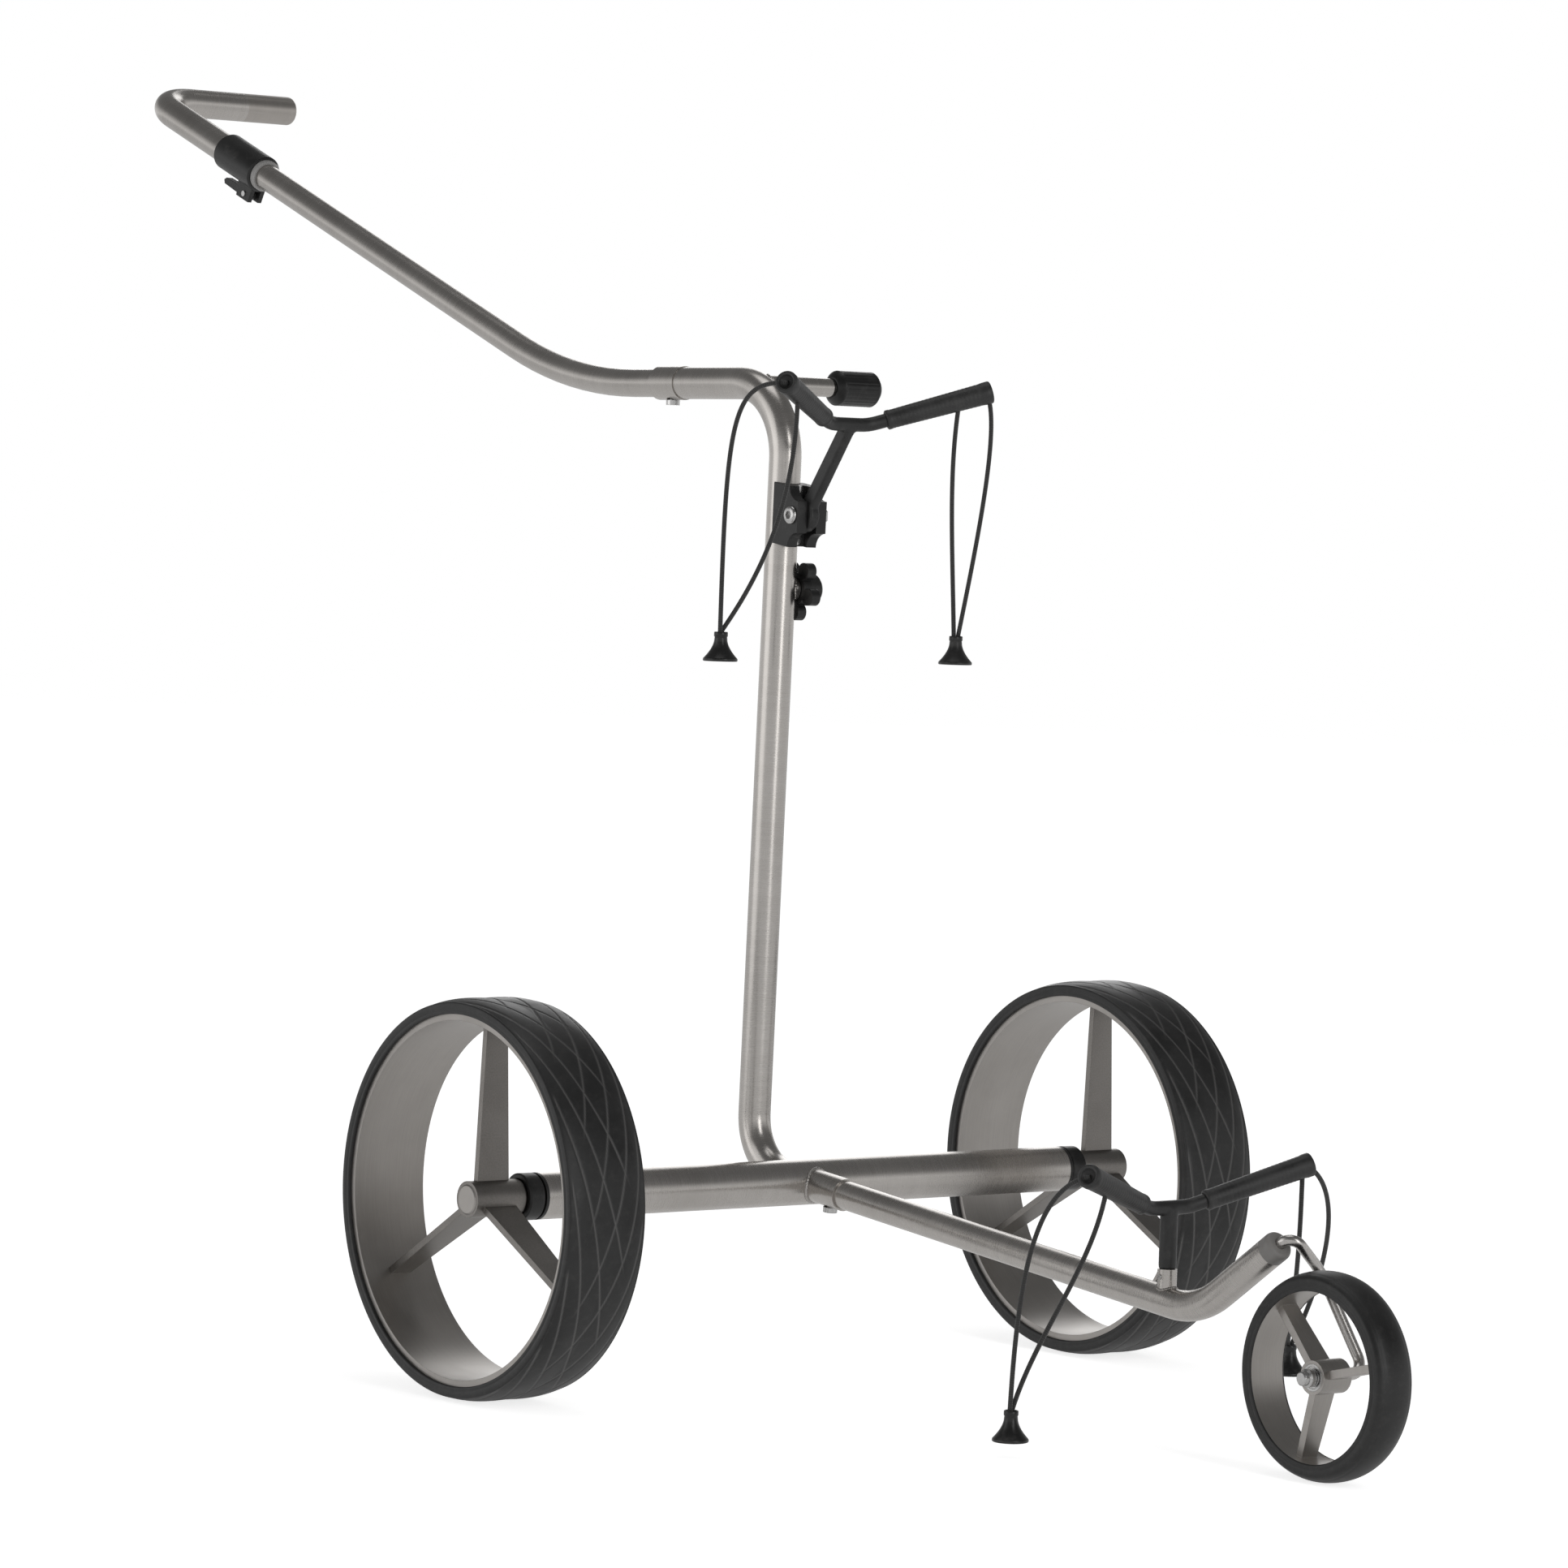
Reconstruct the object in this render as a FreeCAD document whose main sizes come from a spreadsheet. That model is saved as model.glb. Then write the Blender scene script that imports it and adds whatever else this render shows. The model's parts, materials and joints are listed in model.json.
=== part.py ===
import FreeCAD, Part
import math
import operator
import os
from types import SimpleNamespace

import Sketcher

# Golf push trolley with three wheels.
# Origin: on the ground, under the middle of the rear axle.
# X runs along the rear axle, -Y is the way the trolley rolls forward, +Z is up.

X_AXIS = FreeCAD.Vector(1, 0, 0)
Y_AXIS = FreeCAD.Vector(0, 1, 0)
Z_AXIS = FreeCAD.Vector(0, 0, 1)
ORIGIN = FreeCAD.Vector(0, 0, 0)

# Driving dimensions: alias, value (mm or degrees), meaning.
DIMENSIONS = [
    # rear wheels
    ("axle_height", 147.5, "ground to rear axle, the tyre's crown radius"),
    ("wheel_reach", 294.0, "middle plane of each rear wheel from the centre plane"),
    ("tyre_shoulder_radius", 145.6, "rear tyre at the edge of its tread"),
    ("tyre_side_radius", 143.8, "rear tyre where its side face ends"),
    ("tyre_lip_radius", 136.0, "opening of the rear tyre at its side faces"),
    ("tyre_width", 67.0, "rear tyre over its side faces"),
    ("tyre_lip", 2.5, "thickness of the tyre's side lips"),
    ("tyre_corner", 1.8, "width of the bevel at the tread's edge"),
    ("rim_inner_radius", 131.4, "inside of the rear rim"),
    ("rim_outer_radius", 134.6, "bed of the rear rim"),
    ("rim_flange_radius", 137.0, "flanges of the rear rim"),
    ("rim_flange", 2.0, "thickness of the rear rim's flanges"),
    ("hub_radius", 13.5, "rear hub"),
    ("hub_inner_end", 22.5, "rear hub from the wheel's middle plane, inwards"),
    ("hub_outer_end", 21.0, "rear hub from the wheel's middle plane, outwards"),
    ("hub_neck_radius", 12.2, "spigot of the rear hub inside the release ring"),
    ("hub_neck_end", 28.0, "end of that spigot from the wheel's middle plane"),
    ("hub_bore_radius", 8.0, "bore between the rear hub's bearings"),
    ("blade_root_width", 28.0, "rear spoke blade at the hub, along the axle"),
    ("blade_tip_width", 18.0, "rear spoke blade at the rim, along the axle"),
    ("blade_thickness", 5.0, "rear spoke blade"),
    ("blade_embed", 3.0, "start of the rear spoke blades inside the hub's wall"),
    ("bearing_radius", 11.0, "rear bearing, outside"),
    ("bearing_width", 7.0, "rear bearing"),
    ("outer_bearing_seat", 8.5, "inner face of the outer bearing from the middle plane"),
    ("cap_seat", 16.0, "inner face of the hub cap from the middle plane"),
    ("cap_end", 22.0, "outer face of the hub cap from the middle plane"),
    # rear axle
    ("axle_tube_radius", 17.5, "axle tube, outside"),
    ("axle_tube_bore", 16.0, "axle tube, inside"),
    ("axle_tube_half", 253.0, "axle tube from the centre plane to its end"),
    ("stub_radius", 6.0, "stub axle"),
    ("latch_groove", 4.0, "latch groove of the stub axle, along it"),
    ("latch_depth", 1.0, "latch groove of the stub axle"),
    ("stub_inner_end", 160.0, "inner end of the stub axle from the centre plane"),
    ("stub_outer_end", 309.0, "outer end of the stub axle from the centre plane"),
    ("bush_depth", 32.0, "end bush inside the axle tube"),
    ("bush_flange", 2.5, "flange of the end bush"),
    ("ring_start", 256.5, "release ring, inner face from the centre plane"),
    ("ring_length", 13.5, "release ring"),
    ("ring_wall", 4.0, "web of the release ring"),
    ("ring_bore", 13.9, "counterbore of the release ring, which slides over the hub"),
    ("running_gap", 0.06, "radial clearance of turning and sliding fits"),
    ("small_bevel", 1.0, "bevels of turned metal parts"),
    ("soft_bevel", 1.5, "bevels of the moulded sleeves and collars"),
    ("embed", 1.0, "overlap of features that are joined into one part"),
    # frame tubes
    ("tube_radius", 12.5, "mast, spine and grip tube, outside"),
    ("tube_bore", 11.075, "mast, spine and grip tube, inside"),
    ("plug_radius", 11.0, "boom, handle and spigot tubes that plug into the mast tube"),
    ("plug_bore", 9.5, "bore of the tubes that plug in"),
    ("boom_drop", 5.8, "fall of the spine and boom towards the front wheel, degrees"),
    ("socket_reach", 49.0, "front end of the spine's socket from the axle"),
    ("spine_corner", 66.2, "corner of the spine and the mast behind the axle"),
    ("spine_bend", 43.0, "bend radius from spine to mast"),
    ("mast_lean", 1.46, "forward lean of the mast, degrees"),
    ("seam_height", 617.5, "telescoping seam of the mast above the ground"),
    ("handle_height", 756.0, "level part of the upper mast above the ground"),
    ("mast_bend", 58.0, "bend radius at the top of the mast"),
    ("socket_end", 213.0, "rear end of the upper mast, the handle's socket"),
    ("sleeve_length", 31.0, "reinforcing sleeve of the handle's socket"),
    ("sleeve_radius", 13.25, "reinforcing sleeve of the handle's socket"),
    ("spigot_up", 45.0, "spigot above the mast's seam"),
    ("spigot_step", 1.0, "start of the spigot's fixed end above the mast's seam"),
    ("spigot_down", 110.0, "spigot below the mast's seam"),
    # handle and grip
    ("handle_start", 140.0, "front end of the handle tube inside its socket"),
    ("handle_corner", 331.0, "corner of the handle's long bend"),
    ("handle_rise", 21.3, "rise of the handle behind its bend, degrees"),
    ("handle_bend", 450.0, "radius of the handle's long bend"),
    ("handle_end", 900.0, "rear end of the handle tube inside the grip tube"),
    ("grip_corner", 970.0, "corner of the grip tube from the axle"),
    ("grip_bend", 38.0, "bend radius of the grip tube"),
    ("grip_start", 163.0, "grip tube in front of its corner, along the handle"),
    ("grip_reach", 92.5, "grip tube across the trolley from the centre plane"),
    ("grip_cap", 53.0, "end piece of the grip, flush with its tube"),
    ("grip_cap_round", 5.0, "rounded end of the grip's end piece"),
    ("grip_cap_plug", 22.0, "plug of the grip's end piece inside the tube"),
    ("collar_front", 194.0, "front end of the clamp collar from the grip's corner"),
    ("collar_step", 163.3, "step of the clamp collar's bore from the grip's corner"),
    ("collar_rear", 134.0, "rear end of the clamp collar from the grip's corner"),
    ("collar_radius", 16.0, "clamp collar"),
    ("ring_seat", 5.0, "light ring in front of the clamp collar"),
    ("ring_seat_radius", 13.6, "light ring in front of the clamp collar"),
    ("lug_depth", 27.0, "clamp lugs below the handle's axis"),
    ("lug_length", 26.0, "clamp lugs along the handle"),
    ("lug_width", 14.0, "clamp lugs across the handle"),
    ("lug_slot", 6.3, "slot between the clamp lugs"),
    ("lug_embed", 3.0, "overlap of the clamp lugs with the collar"),
    ("lug_bevel", 2.0, "slope of the clamp lugs' ends"),
    ("pin_inset", 5.0, "lever pin from the lugs' lower edge"),
    ("lever_width", 6.0, "clamp lever"),
    ("lever_length", 40.0, "clamp lever from its pin to its tip"),
    ("pin_radius", 2.5, "pin of the clamp lever"),
    # front boom, fork and wheel
    ("boom_start", 20.0, "rear end of the boom inside its socket, behind the axle"),
    ("elbow_reach", 449.4, "elbow of the boom in front of the axle"),
    ("boom_rise", 35.1, "rise of the boom in front of its elbow, degrees"),
    ("boom_bend", 72.0, "bend radius of the boom's elbow"),
    ("boom_nose", 88.6, "front end of the boom from its elbow"),
    ("nose_plug", 22.0, "plug of the boom's end cap"),
    ("nose_cap", 11.0, "head of the boom's end cap"),
    ("nose_round", 4.0, "rounded edge of the boom's end cap"),
    ("fork_radius", 4.0, "front fork rod"),
    ("fork_start", 48.0, "rear end of the fork rod from the boom's elbow"),
    ("fork_crest", 114.0, "first corner of the fork rod from the boom's elbow"),
    ("fork_side", 30.0, "shoulder of the fork rod beside the wheel"),
    ("fork_shoulder_reach", 541.0, "shoulder of the fork rod in front of the axle"),
    ("fork_shoulder_height", 139.5, "shoulder of the fork rod above the ground"),
    ("fork_foot", 37.0, "lower corner of the fork rod beside the wheel"),
    ("fork_tip", 22.0, "free end of the fork rod on the wheel's near side"),
    ("front_reach", 581.5, "front wheel's axle in front of the rear axle"),
    ("front_radius", 73.0, "front tyre at its crown"),
    ("front_shoulder", 66.5, "front tyre where its crown starts"),
    ("front_lip_radius", 59.4, "opening of the front tyre"),
    ("front_width", 32.0, "front tyre"),
    ("front_rim_inner", 59.7, "inside of the front wheel's rim"),
    ("front_rim_outer", 62.6, "outside of the front wheel's rim"),
    ("front_hub_radius", 12.0, "front hub"),
    ("front_hub_half", 13.0, "front hub from the wheel's middle plane"),
    ("front_bore", 7.0, "bore between the front bearings"),
    ("front_bearing_radius", 9.5, "front bearing, outside"),
    ("front_bearing_width", 6.0, "front bearing"),
    ("front_spoke_root", 18.0, "front spoke at the hub, along the axle"),
    ("front_spoke_tip", 14.0, "front spoke at the rim, along the axle"),
    ("front_spoke_thickness", 6.0, "front spoke"),
    ("front_rim_inset", 1.0, "rim of the front wheel inside its tyre's side"),
    ("nut_gap", 1.5, "front axle nut from the hub's end"),
    ("nut_wall", 2.5, "flange of the front axle nut around the axle"),
    ("nut_length", 4.0, "flange of the front axle nut"),
    ("nut_end", 2.0, "closed end of the front axle nut"),
    ("front_spoke_angle", 43.7, "first front spoke behind straight up, degrees"),
    # bag brackets
    ("arm_radius", 5.5, "arms of the bag brackets"),
    ("arm_half", 18.0, "straight middle of each bracket's arms"),
    ("arm_bend", 22.0, "bend radius of each bracket's arms"),
    ("upper_arm_reach", 99.5, "tips of the upper bracket's arms from the centre plane"),
    ("lower_arm_reach", 106.0, "tips of the lower bracket's arms from the centre plane"),
    ("sleeve_rubber_root", 7.2, "rubber sleeves on the arms, at their start"),
    ("sleeve_rubber_radius", 8.5, "rubber sleeves on the arms, at the tips"),
    ("sleeve_rubber_start", 30.0, "start of the rubber sleeves from the centre plane"),
    ("sleeve_wall_end", 4.0, "closed end of the rubber sleeves"),
    ("eye_radius", 13.0, "hinge eye of the upper bracket"),
    ("eye_width", 9.0, "hinge eye of the upper bracket"),
    ("hinge_forward", 28.0, "bracket hinge in front of the mast's axis"),
    ("hinge_up", 38.4, "bracket hinge above the mast's seam"),
    ("hinge_radius", 4.0, "hinge bolt"),
    ("bolt_head_radius", 7.0, "head of the hinge bolt"),
    ("bolt_head", 3.0, "head and nut of the hinge bolt"),
    ("upper_joint_forward", 50.0, "upper bracket's arms in front of its hinge"),
    ("upper_joint_up", 69.6, "upper bracket's arms above its hinge"),
    ("upper_tip_forward", 47.1, "upper arm tips in front of the arms' middle"),
    ("upper_tip_up", 28.5, "upper arm tips above the arms' middle"),
    ("saddle_width", 28.0, "saddle over its cheeks"),
    ("saddle_slot", 9.4, "slot between the saddle's cheeks"),
    ("saddle_height", 49.0, "saddle along the mast"),
    ("saddle_front", 36.0, "front of the saddle from the mast's axis"),
    ("saddle_rear", 5.5, "rear of the saddle from the mast's axis"),
    ("saddle_web", 21.0, "front of the saddle's web from the mast's axis"),
    ("saddle_relief", 13.8, "round relief for the hinge eye"),
    ("saddle_screw_radius", 2.0, "saddle screws"),
    ("saddle_screw_head", 3.2, "head of the saddle screws"),
    ("saddle_screw_height", 2.0, "height of the saddle screws' heads"),
    ("saddle_screw_sink", 3.0, "depth of the saddle screws' seats"),
    ("saddle_screw_inset", 4.5, "saddle screws from the saddle's ends"),
    ("saddle_bevel", 2.5, "slope of the saddle's ends"),
    ("saddle_round", 11.0, "rounded front corners of the saddle"),
    ("lower_boss_reach", 415.0, "boss of the lower bracket in front of the axle"),
    ("lower_boss_top", 128.5, "top of that boss above the ground"),
    ("lower_boss_radius", 7.0, "boss of the lower bracket"),
    ("stem_start", 8.0, "start of the upper bracket's stem from its hinge"),
    ("stem_root_half", 6.0, "half width of the upper bracket's stem at the hinge"),
    ("stem_tip_half", 5.5, "half width of the upper bracket's stem at the arms"),
    ("stem_embed", 5.0, "overlap of the lower stem and its spigot"),
    ("stem_radius", 6.5, "stem of the lower bracket"),
    ("stem_spigot", 4.5, "spigot of the stem inside the boss"),
    ("stem_spigot_length", 11.0, "spigot of the stem inside the boss"),
    ("lower_joint_height", 172.0, "lower bracket's arms above the ground"),
    ("lower_tip_forward", 32.2, "lower arm tips in front of the arms' middle"),
    ("lower_tip_up", 30.3, "lower arm tips above the arms' middle"),
    # cords
    ("cord_radius", 1.75, "elastic cord"),
    ("cord_inboard", 28.0, "inner strand from the arm's tip, along the arm"),
    ("short_inboard", 9.0, "inner strand of the lower right cord from the arm's tip, along the arm"),
    ("cord_gap", 1.5, "free space between a cord and its sleeve"),
    ("cord_bend", 12.0, "bend radius of a cord above its cone"),
    ("cord_split", 0.1, "free space between the two strands inside a cone"),
    ("cord_depth", 9.9, "turn of the cord inside its cone, below the top"),
    ("cord_entry", 4.0, "straight run of the cord above its cone"),
    ("cone_radius", 13.0, "foot of the cord cone"),
    ("cone_top_radius", 5.0, "top of the cord cone"),
    ("cone_height", 22.0, "cord cone"),
    ("cone_waist", 12.1, "waist of the cord cone below its top"),
    ("cone_rim", 3.0, "straight edge of the cone's foot"),
    ("cone_wall", 4.0, "wall of the cone at its foot"),
    ("cone_bore_depth", 11.0, "bore of the cord cone below its top"),
    ("cone_bore", 4.0, "bore of the cord cone"),
    ("upper_cone_reach", 114.0, "upper cones from the centre plane"),
    ("upper_cone_back", 50.0, "upper cones behind the arm tips"),
    ("upper_cone_drop", 187.0, "top of the upper cones below the arm tips"),
    ("left_cone_reach", 126.0, "lower left cone from the centre plane"),
    ("right_cone_reach", 138.0, "lower right cone from the centre plane"),
    ("lower_cone_back", 50.0, "lower cones behind the arm tips"),
    ("left_cone_drop", 169.0, "top of the lower left cone below its arm tip"),
    ("right_cone_drop", 138.0, "top of the lower right cone below its arm tip"),
    # knobs and screws
    ("clamp_drop", 19.0, "mast clamp below the mast's seam"),
    ("clamp_stud_radius", 4.0, "stud of the mast clamp"),
    ("clamp_boss_radius", 9.0, "welded boss of the mast clamp"),
    ("clamp_boss_end", 14.0, "end of that boss from the mast's axis"),
    ("knob_start", 14.5, "star knob from the mast's axis"),
    ("knob_flange", 8.0, "lobed flange of the star knob"),
    ("knob_core", 13.0, "core of the star knob"),
    ("knob_lobe", 6.5, "lobes of the star knob"),
    ("knob_lobe_circle", 17.5, "circle of the lobes' centres"),
    ("knob_dome", 6.0, "dome of the star knob"),
    ("knob_bore", 13.0, "depth of the stud inside the star knob"),
    ("knob_end", 38.5, "end of the star knob from the mast's axis"),
    ("accessory_back", 85.0, "accessory stub behind the rear axle"),
    ("accessory_height", 755.0, "accessory stub above the ground"),
    ("accessory_radius", 7.25, "accessory stub"),
    ("accessory_shoulder", 66.5, "shoulder of the accessory stub"),
    ("accessory_thread", 5.0, "thread of the accessory stub"),
    ("accessory_tip", 96.5, "end of the accessory stub's thread"),
    ("barrel_start", 68.5, "barrel knob from the centre plane"),
    ("barrel_length", 44.0, "barrel knob"),
    ("barrel_radius", 13.7, "barrel knob"),
    ("barrel_bevel", 5.0, "bevels of the barrel knob"),
    ("barrel_bore_depth", 30.0, "bore of the barrel knob"),
    ("screw_radius", 3.0, "lock screws of the boom and handle sockets"),
    ("screw_head_radius", 5.5, "head of the lock screws"),
    ("screw_head", 4.0, "head of the lock screws"),
    ("screw_inset", 16.0, "lock screws from the end of their sockets"),
]

SPOKE_COUNT = 3
LOBE_COUNT = 5
COS_30 = math.cos(math.radians(30))

# bend radii of the fork rod, in radii of the rod
FORK_BENDS = (2, 5.5, 3)

# clamp lever outline: depth below its pin, share of the lever's length, then distance along
LEVER_OUTLINE = ((-3, 0, 0), (-1.5, 1, -3), (1, 1, 0), (4, 1, -2), (5, 0, 0))

# floor of a slot above the part around it, and how far a cutting tool runs past the part
SLOT_FLOOR = 0.6
SLOT_MARGIN = 5

# a corner that must not fall on a sketch's origin is moved off it by this much
OFF_ORIGIN = 0.001
LEFT = -1
RIGHT = 1

document = FreeCAD.newDocument("golf_push_trolley")
sub_parts = []

OPERATORS = {"+": operator.add, "-": operator.sub, "*": operator.mul, "/": operator.truediv}


class Size:
    """A number that remembers the sheet expression it comes from."""

    def __init__(self, value, text):
        self.value = value
        self.text = text

    def __add__(self, other):
        return combine(self, "+", other)

    def __radd__(self, other):
        return combine(other, "+", self)

    def __sub__(self, other):
        return combine(self, "-", other)

    def __rsub__(self, other):
        return combine(other, "-", self)

    def __mul__(self, other):
        return combine(self, "*", other)

    def __rmul__(self, other):
        return combine(other, "*", self)

    def __truediv__(self, other):
        return combine(self, "/", other)

    def __neg__(self):
        return combine(0, "-", self)


def as_size(number):
    """A plain number as a Size; a Size as it is."""
    if isinstance(number, Size):
        return number
    return Size(float(number), "({:.6f})".format(number))


def combine(left, sign, right):
    """Two sizes joined by an operator, as a value and as an expression."""
    left = as_size(left)
    right = as_size(right)
    value = OPERATORS[sign](left.value, right.value)
    return Size(value, "({} {} {})".format(left.text, sign, right.text))


def tangent(angle):
    """The tangent of an angle that is held in degrees."""
    return Size(math.tan(math.radians(angle.value)), "tan({} * 1 deg)".format(angle.text))


def cosine(angle):
    """The cosine of an angle that is held in degrees."""
    return Size(math.cos(math.radians(angle.value)), "cos({} * 1 deg)".format(angle.text))


def sine(angle):
    """The sine of an angle that is held in degrees."""
    return Size(math.sin(math.radians(angle.value)), "sin({} * 1 deg)".format(angle.text))


def make_sheet():
    """The spreadsheet of driving dimensions, and the same values as sizes."""
    sheet = document.addObject("Spreadsheet::Sheet", "Sizes")
    sizes = SimpleNamespace()
    for row, (alias, value, meaning) in enumerate(DIMENSIONS, start=1):
        sheet.set("A{}".format(row), meaning)
        sheet.set("B{}".format(row), str(value))
        sheet.setAlias("B{}".format(row), alias)
        setattr(sizes, alias, Size(value, "Sizes." + alias))
    document.recompute()
    return sizes


dim = make_sheet()


# ---------------------------------------------------------------- helpers

def vector(x, y, z):
    """A vector from numbers or sizes."""
    return FreeCAD.Vector(as_size(x).value, as_size(y).value, as_size(z).value)


def place(x=0, y=0, z=0, rotation=None):
    """A placement from numbers or sizes."""
    return FreeCAD.Placement(vector(x, y, z), rotation or FreeCAD.Rotation())


def turn(axis, degrees):
    """A rotation about an axis."""
    return FreeCAD.Rotation(axis, as_size(degrees).value)


def keep(thing, label):
    """Register a finished sub-part under its label."""
    thing.Label = label
    sub_parts.append(thing)
    return thing


def new_body(label, placement=None):
    """An empty body for one sub-part."""
    body = document.addObject("PartDesign::Body", label)
    body.Placement = placement or FreeCAD.Placement()
    return keep(body, label)


def new_sketch(body, plane, offset=None):
    """A sketch on one of the body's own origin planes."""
    sketch = body.newObject("Sketcher::SketchObject", body.Name + "_sketch")
    roles = {feature.Role: feature for feature in body.Origin.OriginFeatures}
    sketch.AttachmentSupport = (roles[plane], [""])
    sketch.MapMode = "FlatFace"
    if offset:
        sketch.AttachmentOffset = offset
    return sketch


def constrain(sketch, kind, arguments, size):
    """Add a dimension and bind it to the sheet."""
    index = sketch.addConstraint(Sketcher.Constraint(kind, *arguments, size.value))
    sketch.setExpression("Constraints[{}]".format(index), size.text)


def pin_point(sketch, geometry, position, point):
    """Hold a sketch point at a pair of sizes; a plain 0 puts it on the axis."""
    for kind, axis, coordinate in (("DistanceX", -2, point[0]), ("DistanceY", -1, point[1])):
        if isinstance(coordinate, Size) or coordinate != 0:
            constrain(sketch, kind, (-1, 1, geometry, position), as_size(coordinate))
        else:
            sketch.addConstraint(Sketcher.Constraint("PointOnObject", geometry, position, axis))


def flat_point(point):
    """A sketch point as a vector."""
    return vector(point[0], point[1], 0)


def circle(sketch, radius, centre=(0, 0)):
    """A circle with its radius and centre bound to the sheet."""
    shape = Part.Circle(flat_point(centre), Z_AXIS, radius.value)
    index = sketch.addGeometry(shape, False)
    constrain(sketch, "Radius", (index,), radius)
    if centre == (0, 0):
        sketch.addConstraint(Sketcher.Constraint("Coincident", index, 3, -1, 1))
    else:
        pin_point(sketch, index, 3, centre)


def outline(sketch, points, arcs=None):
    """A closed outline. arcs maps an edge's number to its radius and bulge side."""
    arcs = arcs or {}
    count = len(points)
    ends = []
    for number, point in enumerate(points):
        start = flat_point(point)
        finish = flat_point(points[(number + 1) % count])
        if number in arcs:
            radius, side = arcs[number]
            chord = finish - start
            rise = radius.value - math.sqrt(radius.value ** 2 - chord.Length ** 2 / 4)
            across = FreeCAD.Vector(-chord.y, chord.x, 0).normalize() * (rise * side)
            index = sketch.addGeometry(Part.Arc(start, (start + finish) / 2 + across, finish), False)
            constrain(sketch, "Radius", (index,), radius)
        else:
            index = sketch.addGeometry(Part.LineSegment(start, finish), False)
        forward = (sketch.getPoint(index, 1) - start).Length < (sketch.getPoint(index, 2) - start).Length
        ends.append((index, 1, 2) if forward else (index, 2, 1))
    for number, (index, first, last) in enumerate(ends):
        following = ends[(number + 1) % count]
        sketch.addConstraint(Sketcher.Constraint("Coincident", index, last, following[0], following[1]))
        pin_point(sketch, index, first, points[number])


def bent_path(sketch, corners, radii):
    """Straight runs through the corners, joined by tangent arcs at the inner ones."""
    points = [flat_point(corner) for corner in corners]
    starts = [points[0]]
    finishes = []
    arcs = []
    for number, radius in enumerate(radii, start=1):
        before = (points[number] - points[number - 1]).normalize()
        after = (points[number + 1] - points[number]).normalize()
        reach = radius.value * math.tan(before.getAngle(after) / 2)
        enter = points[number] - before * reach
        leave = points[number] + after * reach
        inward = (after - before).normalize()
        depth = math.hypot(radius.value, reach) - radius.value
        arcs.append((enter, points[number] + inward * depth, leave))
        finishes.append(enter)
        starts.append(leave)
    finishes.append(points[-1])
    lines = [
        sketch.addGeometry(Part.LineSegment(start, finish), False)
        for start, finish in zip(starts, finishes)
    ]
    for number, (enter, middle, leave) in enumerate(arcs):
        arc = sketch.addGeometry(Part.Arc(enter, middle, leave), False)
        forward = (sketch.getPoint(arc, 1) - enter).Length < (sketch.getPoint(arc, 2) - enter).Length
        first, last = (1, 2) if forward else (2, 1)
        sketch.addConstraint(Sketcher.Constraint("Tangent", lines[number], 2, arc, first))
        sketch.addConstraint(Sketcher.Constraint("Tangent", arc, last, lines[number + 1], 1))
        constrain(sketch, "Radius", (arc,), radii[number])
        corner = sketch.addGeometry(Part.Point(points[number + 1]), True)
        sketch.addConstraint(Sketcher.Constraint("PointOnObject", corner, 1, lines[number]))
        sketch.addConstraint(Sketcher.Constraint("PointOnObject", corner, 1, lines[number + 1]))
        pin_point(sketch, corner, 1, corners[number + 1])
    pin_point(sketch, lines[0], 1, corners[0])
    pin_point(sketch, lines[-1], 2, corners[-1])


def arc_radius(half, rise):
    """The radius of an arc from half its chord and its rise."""
    return (half * half + rise * rise) / (rise * 2)


def facing(direction, point):
    """A placement at a point whose Z runs along a direction."""
    return FreeCAD.Placement(point, FreeCAD.Rotation(Z_AXIS, direction))


def bent_tube(body, plane, corners, radii, outer, bore=None, offset=None):
    """A round tube, or a rod without a bore, along a bent path in one plane."""
    path = new_sketch(body, plane, offset)
    bent_path(path, corners, radii)
    document.recompute()
    start = path.Placement.multVec(flat_point(corners[0]))
    ahead = path.Placement.multVec(flat_point(corners[1])) - start
    profile = new_sketch(body, "XY_Plane", facing(ahead, start))
    circle(profile, outer)
    if bore:
        circle(profile, bore)
    pipe = body.newObject("PartDesign::AdditivePipe", body.Name + "_pipe")
    pipe.Profile = profile
    pipe.Spine = (path, [])
    document.recompute()
    return pipe


def revolve(body, points, arcs=None):
    """Turn an outline of radius and height pairs about the body's Z axis."""
    sketch = new_sketch(body, "XZ_Plane")
    outline(sketch, points, arcs)
    revolution = body.newObject("PartDesign::Revolution", body.Name + "_turned")
    revolution.Profile = sketch
    revolution.ReferenceAxis = (sketch, ["V_Axis"])
    revolution.Angle = 360
    return revolution


def turned(label, points, placement, arcs=None):
    """A sub-part turned on a lathe, its axis along its own Z."""
    body = new_body(label, placement)
    revolve(body, points, arcs)
    return body


def pad(body, sketch, length, midplane=True):
    """Extrude a sketch, by default to both sides of its plane."""
    feature = body.newObject("PartDesign::Pad", body.Name + "_pad")
    feature.Profile = sketch
    feature.SideType = "Symmetric" if midplane else "One side"
    feature.setExpression("Length", length.text)
    return feature


def pocket(body, sketch, length, midplane=False, reverse=False):
    """Cut a sketch into the body, and make sure that it removed material."""
    document.recompute()
    before = body.Shape.Volume
    feature = body.newObject("PartDesign::Pocket", body.Name + "_pocket")
    feature.Profile = sketch
    feature.SideType = "Symmetric" if midplane else "One side"
    feature.Reversed = reverse
    feature.setExpression("Length", length.text)
    document.recompute()
    if not body.Shape.Volume < before:
        raise RuntimeError("{}: a pocket cuts nothing".format(body.Name))
    return feature


def round_hole(body, plane, radius, length, centres=((0, 0),), **options):
    """Drill round holes from a sketch plane."""
    offset = options.pop("offset", None)
    sketch = new_sketch(body, plane, offset)
    for centre in centres:
        circle(sketch, radius, centre)
    return pocket(body, sketch, length, **options)


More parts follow.
